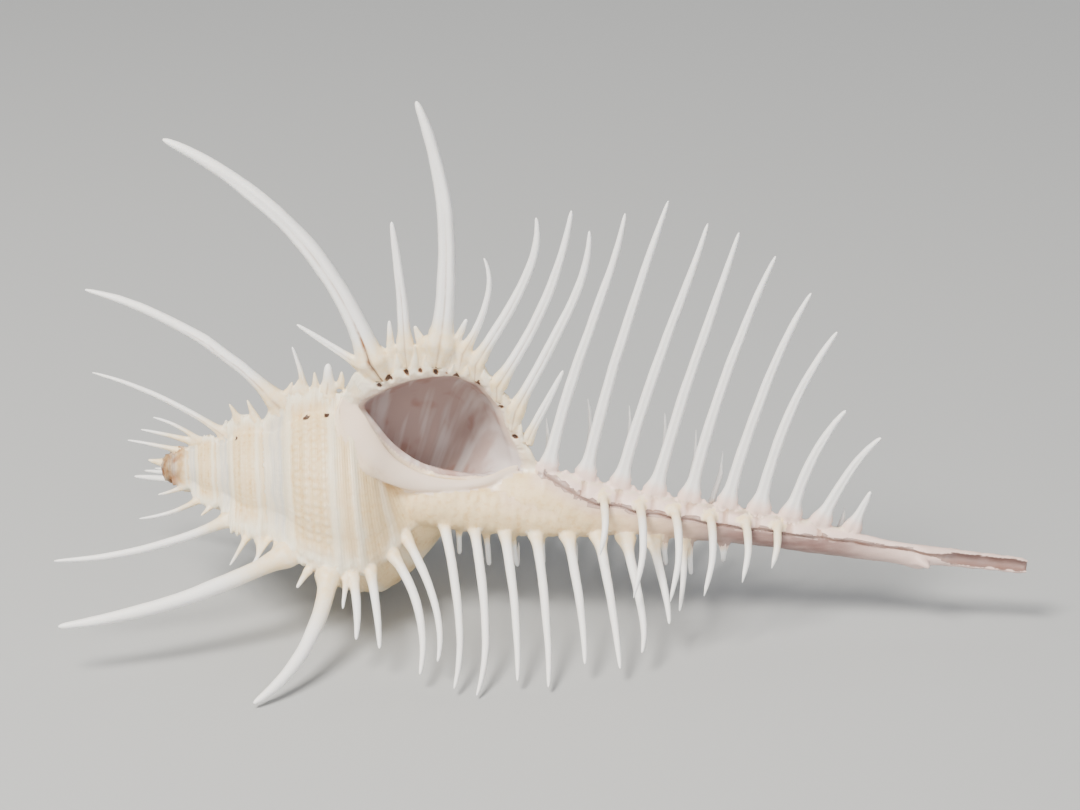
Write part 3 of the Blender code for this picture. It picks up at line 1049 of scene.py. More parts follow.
@dataclass
class HookSpine:
    """A secondary spine, which leaves the mouth side of a comb and hooks round."""

    clock: float
    station: float
    length: float
    size: float
    seed: float
    root_clock: float = 16.0
    headings: tuple[float, ...] = (98.0, 124.0, 142.0)
    leans: tuple[float, ...] = (9.0, 5.0, -6.0)
    width: float = 0.6
    cream: float = 1.0
    parent: float = 62.0
    sides: int = 10

    def build(self) -> Form:
        """Builds the spine, from inside the canal to its tip.

        Returns:
            The closed spine.
        """
        station = self.station
        lift = place(0.0, read(CANAL, station, 1), 0.0)
        knots = [place(station, read(CANAL, station, 2) * 0.8, self.clock + self.root_clock) + lift]
        stride = self.length / len(self.headings)
        for heading, lean in zip(self.headings, self.leans):
            tilt = math.radians(lean + 5 * wander(self.seed, 1.0))
            knots.append(knots[-1] + place(stride * math.sin(tilt), stride * math.cos(tilt), self.clock + heading))
        line, _ = smooth_line(np.array(knots), 0.75)
        run = np.concatenate([[0], np.cumsum(np.linalg.norm(np.diff(line, axis=0), axis=1))])
        mark = run / run[-1]
        ahead = np.gradient(line, axis=0)
        ahead /= np.linalg.norm(ahead, axis=1, keepdims=True)
        beside = np.cross(ahead, np.array([1.0, 0.0, 0.0]))
        beside /= np.linalg.norm(beside, axis=1, keepdims=True)
        other = np.cross(ahead, beside)
        slender = 1.0 if self.cream > 0 else 0.85
        profile = np.interp(mark, (0, 0.2, 0.5, 0.8, 0.94, 1), (1.15, 1.1, 0.95, 0.72, 0.45, 0.12))
        width = self.width * self.size * slender * profile
        knob = 1 + 0.75 * bump(run - 0.9, 1.2)
        side = np.arange(self.sides) * math.tau / self.sides
        sections = (
            line[:, None]
            + beside[:, None] * (width * (1 + 0.6 * (knob - 1)))[:, None, None] * np.cos(side)[:, None]
            + other[:, None] * (width * knob)[:, None, None] * np.sin(side)[:, None]
        )
        marks = marks_of(
            sections.shape[:2],
            spine=(0.05 + 0.95 * ease((run - self.cream) / 9.0))[:, None],
            station=self.parent,
            varix=1.0,
        )
        return tube(sections, marks, "hook_spine")


@dataclass
class Mouth:
    """The hollow of the mouth, which follows the whorl back and narrows as it goes."""

    spacing: float = 0.55
    rows_between: int = 4
    tooth_depth: float = 0.5
    tooth_reach: float = 9.0
    old_shell: tuple[float, float] = (33.0, 56.0)
    old_shell_from: float = -70.0
    film: float = 0.35

    def section(self) -> np.ndarray:
        """Draws the outline of the mouth.

        Returns:
            The smooth closed section, as stations and radii.
        """
        knots = np.array(MOUTH_SECTION)
        around = np.concatenate([knots[-2:], knots, knots[:3]])
        line, numbers = smooth_line(around, self.spacing)
        return line[numbers[2] : numbers[-3]]

    def glaze(self, shape: bmesh.types.BMesh) -> None:
        """Marks what is left of the older whorls inside the mouth as glazed.

        Args:
            shape: The joined shape, with its marks.
        """
        at = np.array([vertex.co for vertex in shape.verts])
        radius, clock = np.hypot(at[:, 1], at[:, 2]), np.degrees(np.arctan2(-at[:, 1], at[:, 2]))
        rim = np.array(CALLUS)
        near = (at[:, 0] > self.old_shell[0]) & (at[:, 0] < self.old_shell[1]) & (clock > self.old_shell_from)
        near &= clock < np.interp(at[:, 0], rim[:, 0], rim[:, 2]) + 3.0
        outline = self.section()
        ends = np.roll(outline, -1, axis=0)
        within = np.zeros(len(at), bool)
        for (station, low), (other, high) in zip(outline[:, :2], ends[:, :2]):
            if low != high:
                meets = (other - station) * (radius - low) / (high - low) + station
                within ^= ((low > radius) != (high > radius)) & (at[:, 0] < meets)
        inside, glaze = layer_of(shape, Mark.INSIDE), layer_of(shape, Mark.GLAZE)
        for vertex, held in zip(shape.verts, near & within):
            if held and vertex[inside] < self.film:
                vertex[glaze], vertex[inside] = 1.0, self.film

    def build(self) -> Form:
        """Builds the hollow as a cutter.

        Returns:
            The closed cutter, with marks for the inside of the shell.
        """
        section = self.section()
        sweep = np.array(MOUTH_SWEEP)
        steps = np.arange(len(sweep) * self.rows_between - self.rows_between + 1) / self.rows_between
        turned = np.interp(steps, np.arange(len(sweep)), sweep[:, 0])
        width = np.interp(steps, np.arange(len(sweep)), sweep[:, 1])
        size = size_at(turned)
        pits = np.array(GROOVES)
        station, radius = section[:, 0], section[:, 1]
        apart = np.min(np.hypot(station[:, None] - pits[:, 0], 1.05 * (radius[:, None] - pits[:, 1] + 0.8)), axis=1)
        outer = ease((radius - 9.0) / 3.0) * ease((station - 32.5) / 2.0)
        teeth = self.tooth_depth * outer * (ease(apart / 1.2) - 0.5)
        reach = bump(np.minimum(turned, 0.0), self.tooth_reach)
        inner = ease((12.6 - radius) / 3.0) * (turned[:, None] > 0)
        ahead = np.maximum(turned, 0.0)[:, None]
        spread = width[:, None] * (1 - inner) + inner * (MARGIN_WIDTH - 0.02 * ahead)
        wide_station = MOUTH_CENTRE[0] + spread * (station - MOUTH_CENTRE[0])
        wide_radius = MOUTH_CENTRE[1] + spread * (radius - MOUTH_CENTRE[1])
        wide_radius = wide_radius - reach[:, None] * teeth * 0.8
        sideways = np.sign(station - 42.0) * ease(np.abs(station - 42.0) / 9.0) * 0.6
        wide_station = wide_station - reach[:, None] * teeth * sideways
        points = place(wide_station * size[:, None], wide_radius * size[:, None], turned[:, None] + 0 * station)
        rim = (0.75 * bump(turned, 7.0))[:, None] * ease((radius - 7.0) / 4.0)
        relief = np.clip(-turned / 90.0, 0.0, 1.0)[:, None]
        marks = marks_of(points.shape[:2], station=station, inside=1.0, relief=relief, glaze=0.2 + rim)
        return tube(points, marks, "mouth")


@dataclass
class Pit:
    """A small hollow where a spine's groove meets the margin of the mouth, painted near black as shade."""

    station: float
    radius: float
    width: float
    clock: float = 0.0
    shape: tuple[float, float, float] = (0.85, 1.9, 1.7)
    ahead: float = 0.5

    def build(self) -> Form:
        """Builds the pit as a cutter, a leaning egg half sunk into the lip.

        Returns:
            The closed cutter.
        """
        shape = bmesh.new()
        bmesh.ops.create_icosphere(shape, subdivisions=2, radius=1.0)
        lean = math.atan2(self.station - MOUTH_CENTRE[0], self.radius - MOUTH_CENTRE[1])
        form = Matrix.Diagonal((*(self.width * side for side in self.shape), 1.0))
        middle = Vector(place(self.station, self.radius, 0.0)) + Vector((0.0, -self.ahead, 0.0))
        turn = Matrix.Rotation(math.radians(self.clock), 4, "X")
        placed = turn @ Matrix.Translation(middle) @ Matrix.Rotation(lean, 4, "Y") @ form
        bmesh.ops.transform(shape, matrix=placed, verts=shape.verts)
        points = np.array([vertex.co for vertex in shape.verts])
        # The hollow is painted near black, as shade.
        marks = marks_of((len(points),), station=self.station, dirt=1.0)
        return Form(close_up(shape, "pit"), points, marks)


@dataclass
class Callus:
    """The glazed plate and rim along the inner side of the mouth."""

    spacing: float = 0.4
    sides: int = 36
    depth: float = 2.6

    def build(self) -> Form:
        """Builds the callus.

        Returns:
            The closed callus, wide and flat on the left and a round rim along the bottom.
        """
        line, _ = smooth_line(np.array(CALLUS), self.spacing)
        edges = line[:, :3], line[:, 3:6]
        chord = np.linalg.norm(place(*edges[0].T) - place(*edges[1].T), axis=1)
        side = np.arange(self.sides) * math.tau / self.sides
        across = np.sign(np.cos(side)) * np.abs(np.cos(side)) ** 0.85
        run = np.linspace(0.0, 1.0, len(line))
        ends = np.sqrt(np.clip(1 - np.abs(2 * run - 1) ** 16, 0.03, 1.0))
        spread = np.maximum(1.0, 1.5 / np.maximum(chord, 0.1)) * ends
        share = 0.5 + 0.5 * across[None, :] * spread[:, None]
        station, radius, clock = (
            edges[0][:, column, None] * (1 - share) + edges[1][:, column, None] * share for column in range(3)
        )
        rise = np.sign(np.sin(side)) * np.abs(np.sin(side)) ** 0.75
        plate = ease((chord - 2.5) / 3.0)[:, None]
        dish = 1 - 0.35 * plate * bump(share - 0.45, 0.28)
        lift = np.where(rise > 0, (line[:, 6:] - 0.35) * rise * dish, self.depth * rise) * ends[:, None]
        sections = place(station, radius - 0.15 + lift, clock)
        marks = marks_of(
            sections.shape[:2],
            station=np.clip(station / size_at(clock - 360.0), 44.0, 60.0),
            glaze=1.0 - 0.4 * plate * ease((share - 0.55) / 0.4),
        )
        return tube(sections, marks, "callus")


@dataclass
class BaseWall:
    """The full, beaded wall below the callus, which runs out along the canal."""

    clock: float = 92.0
    sides: int = 40
    spacing: float = 0.42
    cord_gap: float = 1.5
    beads_around: int = 9
    band_station: float = 55.5

    def build(self) -> Form:
        """Builds the wall.

        Returns:
            The closed wall.
        """
        line, _ = smooth_line(np.array(BASE_WALL), self.spacing)
        station, side = np.meshgrid(line[:, 0], np.arange(self.sides) * 360.0 / self.sides, indexing="ij")
        cord = 0.5 + 0.5 * np.cos(math.tau * station / self.cord_gap)
        bead = 0.5 + 0.5 * np.cos(math.radians(self.beads_around) * side + 1.3 * wander(station * 0.5, 2.0))
        relief = (0.05 * cord + 0.11 * bead * cord) * ease((66.0 - station) / 5.0)
        lumps = 0.10 * wander(station * 0.8 + side * 0.03, 3.0) + 0.06 * wander(station * 2.2 - side * 0.05, 8.0)
        radius = line[:, 1, None] + relief + lumps
        centre = place(0 * line[:, 0], line[:, 2], self.clock)
        sections = place(station, radius, side) + centre[:, None]
        upper = 0.8 * ease((station - 52.0) / 3.0) * bump((side + 170.0) % 360.0 - 170.0, 45.0)
        canal = np.maximum(upper, ease((station - 62.0) / 26.0))
        marks = marks_of(station.shape, station=self.band_station, relief=relief / 0.2, canal=canal)
        return tube(sections, marks, "base_wall")


@dataclass
class Slit:
    """The thin wandering slit along the canal, which widens into the trough at its end."""

    spacing: float = 0.5
    half_width: float = 0.13
    depth: float = 1.0
    trough_width: float = 0.95
    trough_depth: float = 1.55
    sides: int = 12
    band_station: float = 62.0

    def build(self) -> Form:
        """Builds the slit as a cutter.

        Returns:
            The closed cutter, with marks for the pink inside of the canal and painted shade in the slit.
        """
        knots = np.array(SLIT)
        stations = np.arange(knots[0, 0], knots[-1, 0] + 0.01, self.spacing)
        clock = np.interp(stations, knots[:, 0], knots[:, 1])
        clock = np.convolve(np.pad(clock, 1, mode="edge"), (0.2, 0.6, 0.2), mode="valid")
        surface = read(CANAL, stations, 2) + 0.25
        lift = place(0 * stations, read(CANAL, stations, 1), 0 * stations)
        line = np.array(WHORL_OUTLINE)
        whorl = np.interp(stations, line[:, 0], line[:, 1])
        outer = np.maximum(surface, whorl * ease((60.5 - stations) / 1.5) - 0.6)
        open_out = ease((stations - (TROUGH_START - 1.5)) / 5.0)
        half = self.half_width + (self.trough_width - self.half_width) * open_out
        half = half * (1 + 0.3 * wander(stations * 1.7, 6.0) * (1 - 0.5 * open_out))
        deep = self.depth + (self.trough_depth - self.depth) * open_out
        deep = deep * ease((stations - knots[0, 0]) / 2.0 + 0.15)
        side = np.arange(self.sides) * math.tau / self.sides
        wide, tall = np.cos(side), np.sin(side)
        wide = np.sign(wide) * np.abs(wide) ** 0.7
        tangent = place(0 * clock, 0 * clock + 1.0, clock + 90.0)
        outward = place(0 * clock, 0 * clock + 1.0, clock)
        height = np.where(tall > 0, 0.9, 1.0) * tall
        reach = np.where(tall[None, :] > 0, 1.0, deep[:, None])
        sections = (
            place(stations, outer, clock)[:, None]
            + lift[:, None]
            + tangent[:, None] * (half[:, None] * wide)[..., None]
            + outward[:, None] * (reach * height)[..., None]
        )
        marks = marks_of(
            sections.shape[:2],
            station=self.band_station,
            canal=1.0,
            inside=(1.0 - 0.8 * open_out)[:, None],
            # Painted shade in the narrow slit, lighter where it opens into the trough.
            dirt=(0.36 - 0.12 * open_out)[:, None],
        )
        return tube(sections, marks, "slit")


@dataclass
class LipFace:
    """The face of the outer lip: rounded ridges and small teeth, parted by the spines' grooves."""

    edge: float = 0.5
    swell: float = 0.75
    groove_width: float = 0.32
    tooth_gap: float = 1.9
    stations: tuple[float, float] = (27.0, 60.0)
    lowest: float = 1.5
    passes: int = 6

    def holds(self, vertex: bmesh.types.BMVert) -> bool:
        """Tells whether a vertex lies on the flat face.

        Args:
            vertex: The vertex.

        Returns:
            Whether it does.
        """
        at = vertex.co
        if abs(at.y) > 0.02 or not self.stations[0] < at.x < self.stations[1] or at.z < self.lowest:
            return False
        line = WHORL_OUTLINE
        place_in = max(index for index in range(len(line)) if line[index][0] <= max(at.x, line[0][0]))
        low, high = line[place_in], line[place_in + 1]
        share = min(max((at.x - low[0]) / (high[0] - low[0]), 0.0), 1.0)
        outer = low[1] + share * (high[1] - low[1])
        crest = VARIX_HEIGHTS[0] * (low[2] + share * (high[2] - low[2]))
        return at.z < outer + crest + 0.4

    def refine(self, shape: bmesh.types.BMesh) -> None:
        """Splits the face into small even triangles.

        Args:
            shape: The joined shape.
        """
        for _ in range(self.passes):
            inside = {vertex for vertex in shape.verts if self.holds(vertex)}
            long = [
                edge
                for edge in shape.edges
                if edge.verts[0] in inside and edge.verts[1] in inside and edge.calc_length() > self.edge * 1.35
            ]
            if not long:
                break
            bmesh.ops.subdivide_edges(shape, edges=long, cuts=1)
            bmesh.ops.triangulate(shape, faces=[face for face in shape.faces if len(face.verts) > 3])
            inside = {vertex for vertex in shape.verts if self.holds(vertex)}
            faces = [face for face in shape.faces if all(vertex in inside for vertex in face.verts)]
            held = set(faces)
            inner = [edge for edge in shape.edges if len(edge.link_faces) == 2 and held.issuperset(edge.link_faces)]
            if inner:
                bmesh.ops.beautify_fill(shape, faces=faces, edges=inner)

    def groove_distance(self, station: float, radius: float) -> float:
        """Measures how far a place on the face is from the nearest groove.

        Args:
            station: The place's station.
            radius: The place's radius.

        Returns:
            The distance.
        """
        nearest = 99.0
        for pit_station, pit_radius, _, foot_station, foot_radius in GROOVES:
            run = (foot_station - pit_station, foot_radius - pit_radius)
            length = math.hypot(*run)
            share = ((station - pit_station) * run[0] + (radius - pit_radius) * run[1]) / length**2
            share = min(max(share, 0.0), 1.6)
            apart = math.hypot(station - pit_station - share * run[0], radius - pit_radius - share * run[1])
            nearest = min(nearest, apart)
        return nearest

    def build(self, shape: bmesh.types.BMesh) -> None:
        """Shapes the face of the joined shell.

        Args:
            shape: The joined shape, with its marks.
        """
        self.refine(shape)
        section = Mouth().section()
        margin = np.array(MOUTH_CENTRE) + MARGIN_WIDTH * (section[:, :2] - np.array(MOUTH_CENTRE))
        tree = tree_of([(station, 0.0, radius) for station, radius in margin])
        marks = (Mark.DIRT, Mark.VARIX, Mark.GLAZE, Mark.INSIDE, Mark.SPINE)
        dirt, white, glaze, inside, spine = (layer_of(shape, mark) for mark in marks)
        for vertex in [vertex for vertex in shape.verts if self.holds(vertex)]:
            station, radius = vertex.co.x, vertex.co.z
            _, number, from_margin = tree.find((station, 0.0, radius))
            apart = self.groove_distance(station, radius)
            upper = float(ease((radius - 6.5) / 2.0))
            tooth = 0.5 + 0.5 * math.cos(math.tau * number * 0.55 / self.tooth_gap)
            height = self.swell * float(ease(from_margin / 1.3)) + 0.35 * tooth * float(bump(from_margin - 0.5, 0.5))
            height *= 1.0 - 0.85 * float(bump(apart, self.groove_width))
            vertex.co.y -= height * upper
            # Painted shade along the spines' grooves on the face of the lip.
            vertex[dirt] = 0.35 * upper * float(bump(apart, 0.22))
            vertex[white] = max(vertex[white], 0.85)
            vertex[spine] = 0.0
            vertex[inside] *= float(bump(from_margin, 0.3))
            vertex[glaze] = 0.55 * float(bump(from_margin, 1.2))


@dataclass
class Whole:
    """Joins the parts of the shell into one skin, softens their joints and carries their marks."""

    solver: str = "MANIFOLD"
    same_place: float = 0.003
    joint_reach: float = 0.55
    suture_reach: float = 1.1
    soft_passes: int = 5

    def combine(self, base: Form, steps: Sequence[tuple[Join, Sequence[Form]]]) -> bpy.types.Mesh:
        """Adds forms to the base or cuts them from it, one step after another.

        Args:
            base: The first form.
            steps: The Boolean operation of each step, and its forms.

        Returns:
            The mesh that is left.
        """
        body = show("base", base.mesh)
        helpers = [body]
        groups = []
        for number, (operation, forms) in enumerate(steps):
            group = bpy.data.collections.new(f"step_{number}")
            groups.append(group)
            for form in forms:
                helper = bpy.data.objects.new(form.mesh.name, form.mesh)
                group.objects.link(helper)
                helpers.append(helper)
            boolean = body.modifiers.new(f"step_{number}", "BOOLEAN")
            boolean.operation = operation.value
            boolean.operand_type = "COLLECTION"
            boolean.collection = group
            boolean.solver = self.solver
        graph = bpy.context.evaluated_depsgraph_get()
        result = bpy.data.meshes.new_from_object(body.evaluated_get(graph))
        for helper in helpers:
            bpy.data.objects.remove(helper, do_unlink=True)
        for group in groups:
            bpy.data.collections.remove(group)
        for _, forms in [(Join.ADD, [base]), *steps]:
            for form in forms:
                bpy.data.meshes.remove(form.mesh)
        return result

    def drop_crumbs(self, shape: bmesh.types.BMesh) -> None:
        """Deletes every loose bit of the joined shape but the largest.

        Args:
            shape: The joined shape.
        """
        left, islands = set(shape.verts), []
        while left:
            island, front = set(), [left.pop()]
            while front:
                vertex = front.pop()
                island.add(vertex)
                for edge in vertex.link_edges:
                    other = edge.other_vert(vertex)
                    if other in left:
                        left.discard(other)
                        front.append(other)
            islands.append(island)
        islands.sort(key=len)
        for island in islands[:-1]:
            bmesh.ops.delete(shape, geom=list(island), context="VERTS")

    def drop_folds(self, shape: bmesh.types.BMesh) -> None:
        """Deletes triangles that lie back to back on the same three vertices.

        Args:
            shape: The joined shape.
        """
        shared = {}
        for face in shape.faces:
            shared.setdefault(frozenset(face.verts), []).append(face)
        folds = [face for faces in shared.values() if len(faces) > 1 for face in faces]
        bmesh.ops.delete(shape, geom=folds, context="FACES")

    def carry_marks(self, shape: bmesh.types.BMesh, forms: Sequence[Form]) -> list[Vector]:
        """Gives each vertex the marks of the nearest point that the forms were made from.

        Args:
            shape: The joined shape.
            forms: All forms that it was made from.

        Returns:
            The places where two forms meet.
        """
        points = np.concatenate([form.points for form in forms])
        marks = np.concatenate([form.marks for form in forms])
        surface = tree_of([vertex.co for vertex in shape.verts])
        left = np.array([surface.find(point)[2] < self.same_place for point in points])
        points, marks = points[left], marks[left]
        tree = tree_of(points)
        for mark in Mark:
            shape.verts.layers.float.new(mark.name.lower())
        layers = [layer_of(shape, mark) for mark in Mark]
        joints = []
        for vertex in shape.verts:
            _, number, apart = tree.find(vertex.co)
            for layer, value in zip(layers, marks[number]):
                vertex[layer] = value
            if apart > 1e-3:
                joints.append(vertex.co.copy())
        return joints

    def soften(self, shape: bmesh.types.BMesh, joints: Sequence[Vector]) -> None:
        """Smooths the creases where two forms meet, so that they flow into each other.

        Args:
            shape: The joined shape.
            joints: The places where two forms meet.
        """
        tree, station = tree_of(joints), layer_of(shape, Mark.STATION)
        near = [
            vertex
            for vertex in shape.verts
            if 0.0 < vertex[station] < SUTURE + self.suture_reach
            or 0.0 < WHORL_OUTLINE[SUTURE_POINT][0] - vertex[station] + 0.02 < 0.9
            or tree.find(vertex.co)[2] < self.joint_reach
        ]
        for _ in range(self.soft_passes):
            bmesh.ops.smooth_vert(shape, verts=near, factor=0.5, use_axis_x=True, use_axis_y=True, use_axis_z=True)

    def build(self, base: Form, steps: Sequence[tuple[Join, Sequence[Form]]]) -> bpy.types.Mesh:
        """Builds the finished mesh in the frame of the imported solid.

        Args:
            base: The first form.
            steps: The Boolean operation of each step, and its forms.

        Returns:
            The mesh, in metres.
        """
        mesh = self.combine(base, steps)
        shape = bmesh.new()
        shape.from_mesh(mesh)
        bmesh.ops.triangulate(shape, faces=shape.faces)
        log.info("joined: %d triangles", len(shape.faces))
        self.drop_folds(shape)
        self.drop_crumbs(shape)
        joints = self.carry_marks(shape, [base, *(form for _, forms in steps for form in forms)])
        Mouth().glaze(shape)
        LipFace().build(shape)
        self.soften(shape, joints)
        turn = Matrix.Rotation(AXIS_DIP, 4, "Y")
        move = Matrix.Translation(VANISHING_POINT)
        bmesh.ops.transform(shape, matrix=Matrix.Scale(MM, 4) @ move @ turn, verts=shape.verts)
        shape.to_mesh(mesh)
        shape.free()
        mesh.shade_smooth()
        return mesh


Socket = bpy.types.NodeSocket
Marks = dict[Mark, Socket]
Adder = Callable[..., Socket]

# Kinds of node, and settings that many of them share.
MARK, PLACE, NOISE, RAMP = "ShaderNodeAttribute", "ShaderNodeTexCoord", "ShaderNodeTexNoise", "ShaderNodeValToRGB"
RANGE, MATH, MIX, BUMP = "ShaderNodeMapRange", "ShaderNodeMath", "ShaderNodeMix", "ShaderNodeBump"
STRETCH, SEPARATE, COMBINE = "ShaderNodeMapping", "ShaderNodeSeparateXYZ", "ShaderNodeCombineXYZ"
SMOOTH = {"interpolation_type": "SMOOTHSTEP"}
COLOURS = {"data_type": "RGBA"}
TIMES, PLUS, LARGER = {"operation": "MULTIPLY"}, {"operation": "ADD"}, {"operation": "MAXIMUM"}
PATCHY = SMOOTH | {"From Min": 0.3, "From Max": 0.7}
FINE = {"Detail": 3.0, "Roughness": 0.55}
COARSE = {"Detail": 2.0, "Roughness": 0.55}


def linear(code: str) -> tuple[float, float, float, float]:
    """Turns an sRGB hex colour into the linear colour that a shader reads.

    Args:
        code: The colour, as six hex digits.

    Returns:
        Red, green, blue and alpha.
    """
    parts = [int(code[place_in : place_in + 2], 16) / 255 for place_in in (0, 2, 4)]
    red, green, blue = [part / 12.92 if part <= 0.04045 else ((part + 0.055) / 1.055) ** 2.4 for part in parts]
    return (red, green, blue, 1.0)


def add_node(
    tree: bpy.types.NodeTree,
    kind: str,
    settings: Optional[dict] = None,
    links: Optional[dict] = None,
    output: int | str = 0,
) -> Socket:
    """Adds a node with its settings and links.

    Args:
        tree: The material's nodes.
        kind: The node's Blender type.
        settings: Values by name. A name in small letters is a property of the node, and any other
            name, or a number, is an input.
        links: Output sockets by the input that each goes to.
        output: Which output is wanted, by number or name.

    Returns:
        That output of the node.
    """
    made = tree.nodes.new(kind)
    for name, value in (settings or {}).items():
        if isinstance(name, str) and name[0].islower():
            setattr(made, name, value)
        else:
            made.inputs[name].default_value = value
    for name, socket in (links or {}).items():
        tree.links.new(socket, made.inputs[name])
    return made.outputs[output]


def set_ramp(ramp: bpy.types.ColorRamp, stops: Sequence[tuple[float, str]]) -> None:
    """Gives a colour ramp its stops.

    Args:
        ramp: The ramp.
        stops: The place, from 0 to 1, and the sRGB hex colour of each stop.
    """
    while len(ramp.elements) < len(stops):
        ramp.elements.new(1.0)
    for element, (at, code) in zip(ramp.elements, stops):
        element.position = at
        element.color = linear(code)


@dataclass(frozen=True)
class ShellFinish:
    """Dry aragonite shell, matt and beaded outside, glazed at the mouth.

    It gives the eye cream and grey spiral bands under pale beads, chalky white spines that are
    creamy at the foot, a porcelain sheen on the callus and a mauve depth inside.
    """

    # Bands of the outer shell, by station at the lip's size.
    bands: tuple[tuple[float, str], ...] = (
        (28.1, "ebdfc8"),
        (29.6, "e3d8c3"),
        (30.2, "d3cfc4"),
        (31.4, "e4dccd"),
        (32.3, "cdcbc4"),
        (33.1, "e8dcc2"),
        (33.9, "f1ead4"),
        (34.7, "f0e2c2"),
        (35.3, "eed5a6"),
        (38.2, "eed6aa"),
        (38.9, "f3deb8"),
        (39.6, "eed4a4"),
        (42.6, "eed6aa"),
        (43.4, "f2e4c6"),
        (44.4, "f3ebd7"),
        (45.2, "eedcb8"),
        (46.6, "e8cda0"),
        (48.0, "ead3a9"),
        (48.8, "f2e7cf"),
        (49.5, "ecdfc2"),
        (50.4, "e9cfa0"),
        (53.2, "e9d0a2"),
        (54.3, "f2e3c4"),
        (55.0, "efd7a9"),
        (60.0, "f0d6a4"),
    )

    # Other colours, from the outside to the mouth, and of wear and of painted shade.
    hollow: str = "dab070"
    bead: str = "f7e6c8"
    varix: str = "fbf3de"
    foot: str = "f8e0b2"
    spine: str = "fbfbfb"
    glaze: str = "f0dccb"
    inside: str = "c0aba7"
    inside_pale: str = "ded6d6"
    inside_brown: str = "ab8578"
    canal: str = "f5dad1"
    # Mauve of the canal's lower wall and trough, darkened to paint the shade that falls there.
    canal_mauve_and_shade: str = "755550"
    # Brown of the worn apex, also laid as painted shade in grooves, seams and the slit.
    dirt: str = "96622f"
    # Near black, painted as shade in the pits and in the deepest groove.
    pit: str = "4a3226"
    # Where along the canal the mauve and its painted shade begin, are deepest, fade and are almost gone, by station.
    mauve_stations: tuple[float, ...] = (66.0, 92.0, 100.0, 117.0)

    # Sizes of the fine grain and of the patches that the bands stray by.
    grain_mm: float = 0.22
    patch_mm: float = 3.0

    def build(self) -> bpy.types.Material:
        """Builds the material.

        Returns:
            The material, which reads the marks of the mesh.
        """
        material = bpy.data.materials.new("murex_aragonite")
        material.use_nodes = True
        surface = material.node_tree.nodes["Principled BSDF"]
        add = partial(add_node, material.node_tree)
        marks = {mark: add(MARK, {"attribute_name": mark.name.lower()}, output="Fac") for mark in Mark}
        place_on = add(PLACE, output="Object")
        colour = self.outside(add, marks, place_on)
        colour = self.spines(add, marks, place_on, colour)
        colour = self.canal_wall(add, marks, place_on, colour)
        colour = self.mouth(add, marks, place_on, colour)
        colour = self.paint_wear_and_shade(add, marks, place_on, colour)
        material.node_tree.links.new(colour, surface.inputs["Base Color"])
        wet = add(MATH, TIMES | {1: 0.85}, {0: marks[Mark.INSIDE]})
        shine = add(MATH, LARGER, {0: marks[Mark.GLAZE], 1: wet})
        material.node_tree.links.new(self.gloss(add, place_on, shine), surface.inputs["Roughness"])
        material.node_tree.links.new(self.grain(add, marks, place_on, shine), surface.inputs["Normal"])
        surface.inputs["IOR"].default_value = 1.53
        surface.inputs["Subsurface Weight"].default_value = 0.12
        surface.inputs["Subsurface Radius"].default_value = (1.0, 0.75, 0.55)
        surface.inputs["Subsurface Scale"].default_value = 0.8 * MM
        return material

    def outside(self, add: Adder, marks: Marks, place_on: Socket) -> Socket:
        """Colours the outer shell: spiral bands, with peach hollows between pale beads.

        Args:
            add: Adds a node to the material.
            marks: The marks of the mesh, as sockets.
            place_on: The place on the piece.

        Returns:
            The colour.
        """
        first, last = self.bands[0][0], self.bands[-1][0]
        patch = add(NOISE, FINE | {"Scale": 1.0 / (self.patch_mm * MM)}, {"Vector": place_on})
        stray = add(RANGE, PATCHY | {"To Min": -0.35, "To Max": 0.35}, {"Value": patch})
        shifted = add(MATH, PLUS, {0: marks[Mark.STATION], 1: stray})
        scaled = add(RANGE, {"From Min": first, "From Max": last}, {"Value": shifted})
        colour = add(RAMP, links={"Fac": scaled})
        set_ramp(colour.node.color_ramp, [((at - first) / (last - first), code) for at, code in self.bands])
        speckle = add(NOISE, FINE | {"Scale": 1.0 / (0.9 * MM)}, {"Vector": place_on})
        specks = {"From Min": 0.42, "From Max": 0.7, "To Min": 0.05, "To Max": 0.7}
        speckle = add(RANGE, SMOOTH | specks, {"Value": speckle})
        low = add(RANGE, SMOOTH | {"From Min": 0.75, "From Max": 0.05}, {"Value": marks[Mark.RELIEF]})
        warm = add(MATH, TIMES, {0: low, 1: speckle})
        starts = add(RANGE, SMOOTH | {"From Min": 34.2, "From Max": 35.2}, {"Value": marks[Mark.STATION]})
        ends = add(RANGE, SMOOTH | {"From Min": 43.6, "From Max": 42.8}, {"Value": marks[Mark.STATION]})
        beaded = add(MATH, TIMES, {0: starts, 1: ends})
        starts = add(RANGE, SMOOTH | {"From Min": 46.5, "From Max": 48.0}, {"Value": marks[Mark.STATION]})
        fading = {"From Min": 60.0, "From Max": 56.0, "To Max": 0.8}
        ends = add(RANGE, SMOOTH | fading, {"Value": marks[Mark.STATION]})
        lower = add(MATH, TIMES, {0: starts, 1: ends})
        where = add(MATH, LARGER, {0: beaded, 1: lower})
        warm = add(MATH, TIMES, {0: warm, 1: where})
        colour = add(MIX, COLOURS | {7: linear(self.hollow)}, {"Factor": warm, 6: colour}, output=2)
        high = add(RANGE, SMOOTH | {"From Min": 0.55, "From Max": 1.2, "To Max": 0.55}, {"Value": marks[Mark.RELIEF]})
        return add(MIX, COLOURS | {7: linear(self.bead)}, {"Factor": high, 6: colour}, output=2)

